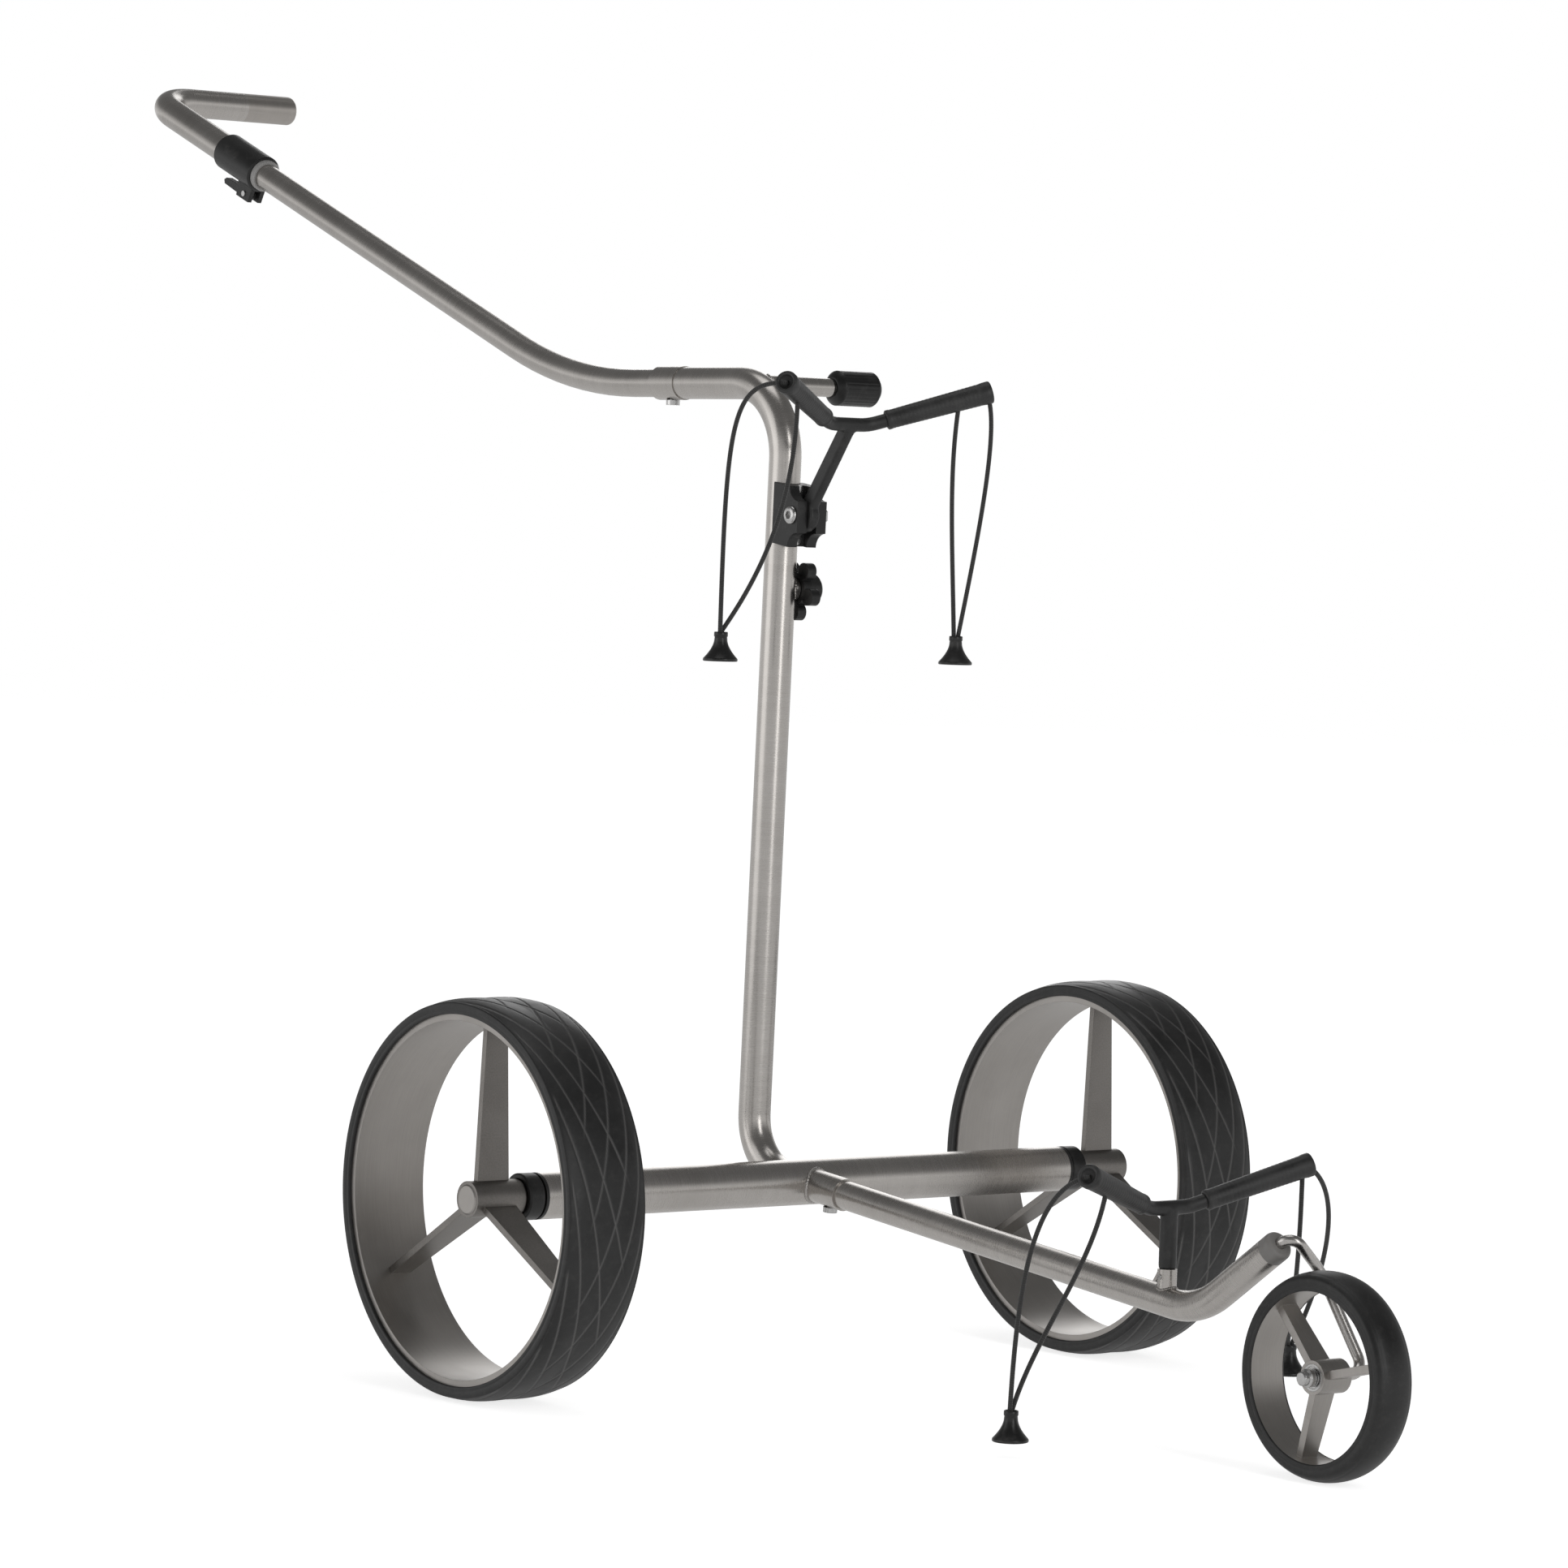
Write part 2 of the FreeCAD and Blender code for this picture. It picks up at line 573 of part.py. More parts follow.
def polar_copies(body, feature, count):
    """Repeat a feature about the body's Z axis."""
    document.recompute()
    pattern = body.newObject("PartDesign::PolarPattern", body.Name + "_pattern")
    pattern.Originals = [feature]
    roles = {item.Role: item for item in body.Origin.OriginFeatures}
    pattern.Axis = (roles["Z_Axis"], [""])
    pattern.Angle = 360
    pattern.Occurrences = count
    body.Tip = pattern
    document.recompute()
    return pattern


def cylinder(name, radius, height, placement):
    """A plain cylinder, its size bound to the sheet."""
    item = document.addObject("Part::Cylinder", name)
    item.setExpression("Radius", as_size(radius).text)
    item.setExpression("Height", as_size(height).text)
    item.Placement = placement
    return item


def cut(name, base, tool):
    """One primitive less another."""
    item = document.addObject("Part::Cut", name)
    item.Base = base
    item.Tool = tool
    return item


def fuse(name, shapes):
    """Several primitives as one solid."""
    item = document.addObject("Part::MultiFuse", name)
    item.Shapes = shapes
    item.Refine = True
    return item


def mirrored_pair(label, first):
    """A sub-part of two equal pieces, one on each side of the centre plane."""
    sub_parts.remove(first)
    second = document.addObject("Part::Mirroring", label + "_mirror")
    second.Source = first
    second.Normal = X_AXIS
    second.Base = ORIGIN
    pair = document.addObject("Part::Compound", label)
    pair.Links = [first, second]
    first.Label = label + "_one"
    return keep(pair, label)


def rounded_wire(points, radii):
    """A wire through points in space, with an arc at each inner point."""
    edges = []
    last = points[0]
    for number, radius in enumerate(radii, start=1):
        before = (points[number] - points[number - 1]).normalize()
        after = (points[number + 1] - points[number]).normalize()
        reach = radius * math.tan(before.getAngle(after) / 2)
        enter = points[number] - before * reach
        leave = points[number] + after * reach
        depth = math.hypot(radius, reach) - radius
        middle = points[number] + (after - before).normalize() * depth
        edges.append(Part.LineSegment(last, enter).toShape())
        edges.append(Part.Arc(enter, middle, leave).toShape())
        last = leave
    edges.append(Part.LineSegment(last, points[-1]).toShape())
    return Part.Wire(edges)


def rod_shape(points, radii, radius):
    """A round rod along a path that bends in space."""
    wire = rounded_wire(points, radii)
    section = Part.Wire(Part.Circle(points[0], points[1] - points[0], radius).toShape())
    return wire.makePipeShell([section], True, False)


def shape_part(label, shape):
    """A sub-part whose shape bends in space, which no sketch plane can hold."""
    item = document.addObject("Part::Feature", label)
    item.Shape = shape
    item.Placement = FreeCAD.Placement()
    return keep(item, label)


# ---------------------------------------------------------------- places

def spine_height(reach):
    """Height above the ground of the spine's axis at a distance behind the axle."""
    return dim.axle_height + reach * tangent(dim.boom_drop)


def mast_reach(height):
    """Distance of the mast's axis behind the rear axle at a height."""
    return dim.spine_corner - (height - spine_height(dim.spine_corner)) * tangent(dim.mast_lean)


def on_mast(up=0, rotation=None):
    """A frame on the mast's axis, its Z along the mast, up from the seam."""
    lean = turn(X_AXIS, dim.mast_lean)
    seam = vector(0, mast_reach(dim.seam_height), dim.seam_height)
    base = seam + lean.multVec(vector(0, 0, up))
    return FreeCAD.Placement(base, lean.multiply(rotation) if rotation else lean)


def on_axle(side, reach):
    """A frame on the rear axle: Z points outwards, X points up."""
    outward = vector(side, 0, 0)
    rotation = FreeCAD.Rotation(Z_AXIS, outward.cross(Z_AXIS), outward, "ZXY")
    return FreeCAD.Placement(vector(side * reach, 0, dim.axle_height), rotation)


def on_front_wheel(angle=0):
    """A frame at the front wheel's centre: Z to the near side, X up, turned by an angle."""
    rotation = FreeCAD.Rotation(Z_AXIS, Y_AXIS, -X_AXIS, "ZXY")
    rotation = rotation.multiply(turn(Z_AXIS, angle))
    return FreeCAD.Placement(vector(0, -dim.front_reach, dim.front_radius), rotation)


def on_boom_nose(distance):
    """A frame on the boom's rising end, Z along it, at a distance from the elbow."""
    rise = dim.boom_rise.value
    direction = FreeCAD.Vector(0, -math.cos(math.radians(rise)), math.sin(math.radians(rise)))
    elbow = vector(0, -dim.elbow_reach, spine_height(-dim.elbow_reach))
    return facing(direction, elbow + direction * as_size(distance).value)


def on_grip(distance=0):
    """A frame at the grip's corner: Y along the handle, X across, moved along the handle."""
    rotation = turn(X_AXIS, dim.handle_rise)
    corner_height = dim.handle_height + (dim.grip_corner - dim.handle_corner) * tangent(dim.handle_rise)
    corner = vector(0, dim.grip_corner, corner_height)
    return FreeCAD.Placement(corner + rotation.multVec(vector(0, distance, 0)), rotation)


# ---------------------------------------------------------------- frame

def make_axle_tube():
    """The cross tube, drilled for the spine that passes through it."""
    body = new_body("axle_tube", place(z=dim.axle_height))
    sketch = new_sketch(body, "YZ_Plane")
    circle(sketch, dim.axle_tube_radius)
    circle(sketch, dim.axle_tube_bore)
    pad(body, sketch, dim.axle_tube_half * 2)
    tilt = place(rotation=turn(X_AXIS, dim.boom_drop + 90))
    round_hole(body, "XY_Plane", dim.tube_radius, dim.axle_tube_radius * 4, offset=tilt, midplane=True)


def make_lower_mast():
    """One tube: front socket, spine through the axle tube, bend and lower mast."""
    body = new_body("lower_mast", place())
    corners = [
        (-dim.socket_reach, spine_height(-dim.socket_reach)),
        (dim.spine_corner, spine_height(dim.spine_corner)),
        (mast_reach(dim.seam_height), dim.seam_height),
    ]
    bent_tube(body, "YZ_Plane", corners, [dim.spine_bend], dim.tube_radius, dim.tube_bore)
    stud = on_mast(-dim.clamp_drop, turn(Y_AXIS, 90))
    round_hole(body, "XY_Plane", dim.clamp_stud_radius + dim.running_gap, dim.tube_radius * 2,
               offset=stud, reverse=True)
    screw = boom_screw_frame()
    round_hole(body, "XY_Plane", dim.screw_radius + dim.running_gap, dim.tube_radius * 2, offset=screw,
               reverse=True)


def boom_screw_frame():
    """A frame on the spine's axis at the boom's lock screw, Z square to it and down."""
    reach = dim.screw_inset - dim.socket_reach
    down = turn(X_AXIS, dim.boom_drop + 180)
    return FreeCAD.Placement(vector(0, reach, spine_height(reach)), down)


def handle_screw_frame():
    """A frame on the upper mast's axis at the handle's lock screw, Z down."""
    reach = dim.socket_end - dim.screw_inset
    return FreeCAD.Placement(vector(0, reach, dim.handle_height), turn(X_AXIS, 180))


def make_lock_screw(label, frame, seat):
    """A thumb screw that presses the plugged-in tube; seat is the socket's outside."""
    tip = dim.plug_radius + dim.running_gap
    points = [
        (0, tip),
        (dim.screw_radius, tip),
        (dim.screw_radius, seat),
        (dim.screw_head_radius, seat),
        (dim.screw_head_radius, seat + dim.screw_head),
        (0, seat + dim.screw_head),
    ]
    turned(label, points, frame)


def make_clamp_boss():
    """The threaded boss on the mast's side that carries the star knob's stud."""
    sideways = turn(Y_AXIS, 90)
    blank = cylinder("clamp_boss_blank", dim.clamp_boss_radius, dim.clamp_boss_end,
                     on_mast(-dim.clamp_drop, sideways))
    tube = cylinder("clamp_boss_cope", dim.tube_radius, dim.clamp_boss_radius * 4,
                    on_mast(-dim.clamp_drop - dim.clamp_boss_radius * 2))
    bore = cylinder("clamp_boss_bore", dim.clamp_stud_radius + dim.running_gap,
                    dim.clamp_boss_end * 2, on_mast(-dim.clamp_drop, sideways))
    keep(cut("mast_clamp_boss", blank, fuse("clamp_boss_tools", [tube, bore])), "mast_clamp_boss")


# ---------------------------------------------------------------- rear wheels

def make_axle_bush(side, prefix):
    """The flanged bush in the end of the axle tube."""
    bore = dim.stub_radius + dim.running_gap
    points = [
        (bore, -dim.bush_depth),
        (dim.axle_tube_bore, -dim.bush_depth),
        (dim.axle_tube_bore, 0),
        (dim.axle_tube_radius, 0),
        (dim.axle_tube_radius, dim.bush_flange),
        (bore, dim.bush_flange),
    ]
    turned(prefix + "_axle_bush", points, on_axle(side, dim.axle_tube_half))


def make_stub_axle(side, prefix):
    """The plug-in stub axle, with a latch groove near its inner end."""
    length = dim.stub_outer_end - dim.stub_inner_end
    groove = dim.stub_radius - dim.latch_depth
    bevel = dim.stub_radius - dim.soft_bevel
    points = [
        (0, 0),
        (bevel, 0),
        (dim.stub_radius, dim.stub_radius / 4),
        (dim.stub_radius, dim.stub_radius * 2),
        (groove, dim.stub_radius * 2),
        (groove, dim.stub_radius * 2 + dim.latch_groove),
        (dim.stub_radius, dim.stub_radius * 2 + dim.latch_groove),
        (dim.stub_radius, length),
        (0, length),
    ]
    turned(prefix + "_stub_axle", points, on_axle(side, dim.stub_inner_end))


def make_release_ring(side, prefix):
    """The ring between the axle tube and the hub that frees the wheel."""
    bore = dim.stub_radius + dim.running_gap
    points = [
        (bore, 0),
        (dim.axle_tube_radius - dim.small_bevel, 0),
        (dim.axle_tube_radius, dim.small_bevel),
        (dim.axle_tube_radius, dim.ring_length - dim.small_bevel),
        (dim.axle_tube_radius - dim.small_bevel, dim.ring_length),
        (dim.ring_bore, dim.ring_length),
        (dim.ring_bore, dim.ring_wall),
        (bore, dim.ring_wall),
    ]
    turned(prefix + "_release_ring", points, on_axle(side, dim.ring_start))


def make_hub_and_spokes(side, prefix):
    """The rear hub with its three blade spokes, welded into one piece."""
    body = new_body(prefix + "_hub_and_spokes", on_axle(side, dim.wheel_reach))
    blade = new_sketch(body, "XZ_Plane")
    root = dim.hub_bore_radius + dim.blade_embed
    tip = dim.rim_inner_radius - dim.running_gap
    outline(blade, [
        (root, -dim.blade_root_width / 2),
        (tip, -dim.blade_tip_width / 2),
        (tip, dim.blade_tip_width / 2),
        (root, dim.blade_root_width / 2),
    ])
    polar_copies(body, pad(body, blade, dim.blade_thickness), SPOKE_COUNT)
    revolve(body, [
        (dim.hub_bore_radius, -dim.hub_neck_end),
        (dim.hub_neck_radius, -dim.hub_neck_end),
        (dim.hub_neck_radius, -dim.hub_inner_end),
        (dim.hub_radius, -dim.hub_inner_end),
        (dim.hub_radius, dim.hub_outer_end),
        (dim.hub_bore_radius, dim.hub_outer_end),
    ])
    seat = dim.bearing_radius
    inner_seat = dim.hub_inner_end - dim.bearing_width
    round_hole(body, "XY_Plane", seat, dim.hub_neck_end, offset=place(z=-inner_seat))
    round_hole(body, "XY_Plane", seat, dim.hub_neck_end, offset=place(z=dim.outer_bearing_seat),
               reverse=True)


def make_rim(side, prefix):
    """The rear rim: a rolled band with two low flanges under the tyre."""
    half = dim.tyre_width / 2 - dim.tyre_lip
    bed = half - dim.rim_flange
    points = [
        (dim.rim_inner_radius, -half),
        (dim.rim_flange_radius, -half),
        (dim.rim_flange_radius, -bed),
        (dim.rim_outer_radius, -bed),
        (dim.rim_outer_radius, bed),
        (dim.rim_flange_radius, bed),
        (dim.rim_flange_radius, half),
        (dim.rim_inner_radius, half),
    ]
    turned(prefix + "_rim", points, on_axle(side, dim.wheel_reach))


def make_tyre(side, prefix):
    """The rear tyre: a low crown, with side lips that wrap the rim's edges."""
    half = dim.tyre_width / 2
    lip = half - dim.tyre_lip
    bed = lip - dim.rim_flange
    edge = half - dim.tyre_corner
    points = [
        (dim.tyre_lip_radius, lip),
        (dim.rim_flange_radius, lip),
        (dim.rim_flange_radius, bed),
        (dim.rim_outer_radius, bed),
        (dim.rim_outer_radius, -bed),
        (dim.rim_flange_radius, -bed),
        (dim.rim_flange_radius, -lip),
        (dim.tyre_lip_radius, -lip),
        (dim.tyre_lip_radius, -half),
        (dim.tyre_side_radius, -half),
        (dim.tyre_shoulder_radius, -edge),
        (dim.tyre_shoulder_radius, edge),
        (dim.tyre_side_radius, half),
        (dim.tyre_lip_radius, half),
    ]
    crown_edge = 10
    crown = arc_radius(edge, dim.axle_height - dim.tyre_shoulder_radius)
    turned(prefix + "_tyre", points, on_axle(side, dim.wheel_reach), {crown_edge: (crown, -1)})


def bearing_points(bore, outside, start, width):
    """The outline of a shielded ball bearing with a low groove in each face."""
    third = (outside - bore) / 3
    dish = width / 10
    return [
        (bore, start),
        (bore + third, start),
        (bore + third, start + dish),
        (outside - third, start + dish),
        (outside - third, start),
        (outside, start),
        (outside, start + width),
        (outside - third, start + width),
        (outside - third, start + width - dish),
        (bore + third, start + width - dish),
        (bore + third, start + width),
        (bore, start + width),
    ]


def make_bearings(label, bore, outside, width, starts, frame):
    """A group of equal bearings on one axis."""
    bearings = []
    for start in starts:
        bearing = turned("bearing", bearing_points(bore, outside, start, width), FreeCAD.Placement())
        sub_parts.remove(bearing)
        bearings.append(bearing)
    group = document.addObject("Part::Compound", label)
    group.Links = bearings
    group.Placement = frame
    keep(group, label)


def make_hub_cap(side, prefix):
    """The pressed cap that closes the outer end of the rear hub."""
    bevel = dim.cap_end - 1
    points = [
        (0, dim.cap_seat),
        (dim.bearing_radius, dim.cap_seat),
        (dim.bearing_radius, bevel),
        (dim.bearing_radius - 1, dim.cap_end),
        (0, dim.cap_end),
    ]
    turned(prefix + "_hub_cap", points, on_axle(side, dim.wheel_reach))


def make_rear_wheel(side, prefix):
    """Everything on one end of the rear axle."""
    make_axle_bush(side, prefix)
    make_stub_axle(side, prefix)
    make_release_ring(side, prefix)
    make_hub_and_spokes(side, prefix)
    make_rim(side, prefix)
    make_tyre(side, prefix)
    make_bearings(prefix + "_hub_bearings", dim.stub_radius + dim.running_gap, dim.bearing_radius,
                  dim.bearing_width, [-dim.hub_inner_end, dim.outer_bearing_seat],
                  on_axle(side, dim.wheel_reach))
    make_hub_cap(side, prefix)


# ---------------------------------------------------------------- front boom and wheel

def make_front_tube():
    """The boom: a straight fall to the elbow, then a short rise to the fork."""
    body = new_body("front_tube", place())
    nose_reach = dim.elbow_reach + dim.boom_nose * cosine(dim.boom_rise)
    nose_height = spine_height(-dim.elbow_reach) + dim.boom_nose * sine(dim.boom_rise)
    corners = [
        (dim.boom_start, spine_height(dim.boom_start)),
        (-dim.elbow_reach, spine_height(-dim.elbow_reach)),
        (-nose_reach, nose_height),
    ]
    bent_tube(body, "YZ_Plane", corners, [dim.boom_bend], dim.plug_radius, dim.plug_bore)


def make_nose_cap():
    """The end cap of the boom that guides the fork rod."""
    bore = dim.fork_radius + dim.running_gap
    points = [
        (bore, -dim.nose_plug),
        (dim.plug_bore, -dim.nose_plug),
        (dim.plug_bore, 0),
        (dim.plug_radius, 0),
        (dim.plug_radius, dim.nose_cap - dim.nose_round),
        (dim.plug_radius - dim.nose_round, dim.nose_cap),
        (bore, dim.nose_cap),
    ]
    rounded_edge = 4
    turned("front_tube_cap", points, on_boom_nose(dim.boom_nose), {rounded_edge: (dim.nose_round, -1)})


def make_front_fork():
    """One bent rod: out of the cap, over the wheel's far side, and through its hub."""
    points = [
        on_boom_nose(dim.fork_start).Base,
        on_boom_nose(dim.fork_crest).Base,
        vector(dim.fork_side, -dim.fork_shoulder_reach, dim.fork_shoulder_height),
        vector(dim.fork_foot, -dim.front_reach, dim.front_radius),
        vector(-dim.fork_tip, -dim.front_reach, dim.front_radius),
    ]
    radius = dim.fork_radius.value
    radii = [radius * factor for factor in FORK_BENDS]
    shape_part("front_fork", rod_shape(points, radii, radius))


def make_front_wheel():
    """The one-piece wheel centre, its tyre, bearings and axle nut."""
    frame = on_front_wheel(dim.front_spoke_angle)
    body = new_body("front_wheel_centre", frame)
    half = dim.front_width / 2 - dim.front_rim_inset
    revolve(body, [
        (dim.front_rim_inner, -half),
        (dim.front_rim_outer, -half),
        (dim.front_rim_outer, half),
        (dim.front_rim_inner, half),
    ])
    spoke = new_sketch(body, "XZ_Plane")
    root = dim.front_bearing_radius + dim.embed
    tip = dim.front_rim_inner + dim.embed
    outline(spoke, [
        (root, -dim.front_spoke_root / 2),
        (tip, -dim.front_spoke_tip / 2),
        (tip, dim.front_spoke_tip / 2),
        (root, dim.front_spoke_root / 2),
    ])
    polar_copies(body, pad(body, spoke, dim.front_spoke_thickness), SPOKE_COUNT)
    revolve(body, [
        (dim.front_bore, -dim.front_hub_half),
        (dim.front_hub_radius, -dim.front_hub_half),
        (dim.front_hub_radius, dim.front_hub_half),
        (dim.front_bore, dim.front_hub_half),
    ])
    seat = dim.front_hub_half - dim.front_bearing_width
    for sign in (-1, 1):
        round_hole(body, "XY_Plane", dim.front_bearing_radius, dim.front_bearing_width * 2,
                   offset=place(z=seat * sign), reverse=sign > 0)

    tyre_half = dim.front_width / 2
    crown_edge = 5
    turned("front_tyre", [
        (dim.front_lip_radius, half),
        (dim.front_rim_outer, half),
        (dim.front_rim_outer, -half),
        (dim.front_lip_radius, -half),
        (dim.front_lip_radius, -tyre_half),
        (dim.front_shoulder, -tyre_half),
        (dim.front_shoulder, tyre_half),
        (dim.front_lip_radius, tyre_half),
    ], on_front_wheel(), {crown_edge: (arc_radius(tyre_half, dim.front_radius - dim.front_shoulder), -1)})

    make_bearings("front_bearings", dim.fork_radius + dim.running_gap, dim.front_bearing_radius,
                  dim.front_bearing_width, [-dim.front_hub_half, seat], on_front_wheel())

    start = dim.front_hub_half + dim.nut_gap
    flange = dim.fork_radius + dim.nut_wall
    step = start + dim.nut_length
    end = dim.fork_tip + dim.nut_end
    turned("front_axle_nut", [
        (dim.fork_radius, start),
        (flange, start),
        (flange, step),
        (dim.fork_radius + dim.small_bevel, step + dim.small_bevel),
        (dim.fork_radius + dim.small_bevel, end - dim.small_bevel),
        (dim.fork_radius, end),
        (0, end),
        (0, dim.fork_tip),
        (dim.fork_radius, dim.fork_tip),
    ], on_front_wheel())


# ---------------------------------------------------------------- bag brackets

def arm_frame(base, forward, up):
    """A frame for the arms: X across, Y towards the tips, forward and up."""
    tilt = math.degrees(math.atan2(up.value, forward.value))
    rotation = turn(X_AXIS, -tilt).multiply(turn(Z_AXIS, 180))
    return FreeCAD.Placement(base, rotation)


def arm_length(forward, up):
    """How far the arm tips stand off the arms' middle, in the arms' own plane."""
    return Size(math.hypot(forward.value, up.value),
                "sqrt({0} * {0} + {1} * {1})".format(forward.text, up.text))


def add_arms(body, base, span, forward, up):
    """Two arms in one bent rod, in their own tilted plane."""
    stand = arm_length(forward, up)
    reach = span - dim.sleeve_wall_end
    share = (reach - dim.arm_half) / (span - dim.arm_half)
    corners = [
        (-reach, stand * share),
        (-dim.arm_half, 0),
        (dim.arm_half, 0),
        (reach, stand * share),
    ]
    bends = [dim.arm_bend, dim.arm_bend]
    bent_tube(body, "XY_Plane", corners, bends, dim.arm_radius, offset=arm_frame(base, forward, up))


def make_arm_sleeves(label, base, span, forward, up):
    """Two tapered rubber sleeves with closed, rounded ends."""
    stand = arm_length(forward, up).value
    spread = span.value - dim.arm_half.value
    angle = math.degrees(math.atan2(stand, spread))
    frame = arm_frame(base, forward, up)
    along = math.hypot(stand, spread)
    started = (dim.sleeve_rubber_start.value - dim.arm_half.value) * along / spread
    root = frame.multVec(vector(dim.arm_half, 0, 0))
    ahead = frame.Rotation.multVec(turn(Z_AXIS, angle).multVec(X_AXIS))
    length = as_size(along - started)
    wall = dim.sleeve_wall_end
    radius = dim.sleeve_rubber_radius
    first = turned(label + "_one", [
        (dim.arm_radius, 0),
        (dim.sleeve_rubber_root - dim.small_bevel, 0),
        (dim.sleeve_rubber_root, dim.small_bevel),
        (radius, length - wall),
        (radius - wall, length),
        (0, length),
        (0, length - wall),
        (dim.arm_radius, length - wall),
    ], facing(ahead, root + ahead * started), {3: (wall, -1)})
    mirrored_pair(label, first)


def hinge_point():
    """The bracket hinge's centre in space."""
    return on_mast(dim.hinge_up).multVec(vector(0, -dim.hinge_forward, 0))


def upper_joint_point():
    """The middle of the upper bracket's arms in space."""
    return hinge_point() + vector(0, -dim.upper_joint_forward, dim.upper_joint_up)


def lower_joint_point():
    """The middle of the lower bracket's arms in space."""
    return vector(0, -dim.lower_boss_reach, dim.lower_joint_height)


def upper_arms():
    """The upper arms' middle, their span, and how far their tips stand forward and up."""
    return upper_joint_point(), dim.upper_arm_reach, dim.upper_tip_forward, dim.upper_tip_up


def lower_arms():
    """The lower arms' middle, their span, and how far their tips stand forward and up."""
    return lower_joint_point(), dim.lower_arm_reach, dim.lower_tip_forward, dim.lower_tip_up


def make_saddle():
    """The saddle clamped to the mast's front, with two cheeks for the hinge eye."""
    body = new_body("upper_saddle", on_mast(dim.hinge_up))
    side = new_sketch(body, "YZ_Plane")
    half = dim.saddle_height / 2
    round_start = -dim.saddle_front + dim.saddle_round
    outline(side, [
        (-dim.saddle_front, -half + dim.saddle_round),
        (round_start, -half),
        (-dim.saddle_rear, -half + dim.saddle_bevel),
        (-dim.saddle_rear, half),
        (round_start, half - dim.saddle_bevel),
        (-dim.saddle_front, half - dim.saddle_bevel - dim.saddle_round),
    ], {0: (dim.saddle_round, 1), 4: (dim.saddle_round, 1)})
    pad(body, side, dim.saddle_width)
    round_hole(body, "XY_Plane", dim.tube_radius, dim.saddle_height * 2, midplane=True)
    slot = new_sketch(body, "XY_Plane")
    outline(slot, [
        (-dim.saddle_slot / 2, -dim.saddle_front - SLOT_MARGIN),
        (dim.saddle_slot / 2, -dim.saddle_front - SLOT_MARGIN),
        (dim.saddle_slot / 2, -dim.saddle_web),
        (-dim.saddle_slot / 2, -dim.saddle_web),
    ])
    pocket(body, slot, dim.saddle_height * 2, midplane=True)
    hinge = (-dim.hinge_forward, 0)
    round_hole(body, "YZ_Plane", dim.saddle_relief, dim.saddle_slot, centres=[hinge], midplane=True)
    round_hole(body, "YZ_Plane", dim.hinge_radius, dim.saddle_width * 2, centres=[hinge], midplane=True)
    centres = [(0, height) for height in saddle_screw_heights()]
    round_hole(body, "XZ_Plane", dim.saddle_screw_radius, dim.saddle_front * 2, centres=centres,
               reverse=True)
    for number, height in enumerate(saddle_screw_heights()):
        seat = place(y=-dim.saddle_web + dim.saddle_screw_sink, rotation=turn(X_AXIS, 90))
        round_hole(body, "XY_Plane", dim.saddle_screw_head, dim.saddle_front,
                   centres=[(0, height)], offset=seat, reverse=True)


def saddle_screw_heights():
    """The two saddle screws above and below the hinge."""
    offset = dim.saddle_height / 2 - dim.saddle_screw_inset
    return (-offset, offset)


def make_saddle_screws():
    """Two countersunk screws through the saddle's web into the mast."""
    screws = []
    for height in saddle_screw_heights():
        frame = on_mast(dim.hinge_up + height, turn(X_AXIS, 90))
        radius = dim.saddle_screw_radius
        tip = dim.tube_bore
        head = dim.saddle_web - dim.saddle_screw_sink
        top = head + dim.saddle_screw_height
        screw = turned("saddle_screw", [
            (0, tip),
            (radius, tip),
            (radius, head),
            (dim.saddle_screw_head, head),
            (dim.saddle_screw_head, top),
            (0, top),
        ], frame)
        sub_parts.remove(screw)
        screws.append(screw)
    group = document.addObject("Part::Compound", "saddle_screws")
    group.Links = screws
    keep(group, "saddle_screws")


def make_hinge_bolt():
    """The bolt of the bracket hinge, and its nut on the far side."""
    start = hinge_point()
    half = dim.saddle_width / 2
    end = half + dim.bolt_head
    turned("hinge_bolt", [
        (0, -end),
        (dim.bolt_head_radius - dim.small_bevel, -end),
        (dim.bolt_head_radius, -end + dim.small_bevel),
        (dim.bolt_head_radius, -half),
        (dim.hinge_radius, -half),
        (dim.hinge_radius, end + dim.small_bevel),
        (0, end + dim.small_bevel),
    ], facing(X_AXIS, start))
    body = new_body("hinge_nut", facing(X_AXIS, start))
    across = dim.bolt_head_radius
    corner = across / 2
    side = across * COS_30
    sketch = new_sketch(body, "XY_Plane", place(z=half))
    outline(sketch, [
        (across, 0),
        (corner, side),
        (-corner, side),
        (-across, 0),
        (-corner, -side),
        (corner, -side),
    ])
    pad(body, sketch, dim.bolt_head, midplane=False)
    round_hole(body, "XY_Plane", dim.hinge_radius, dim.saddle_width * 4, midplane=True)


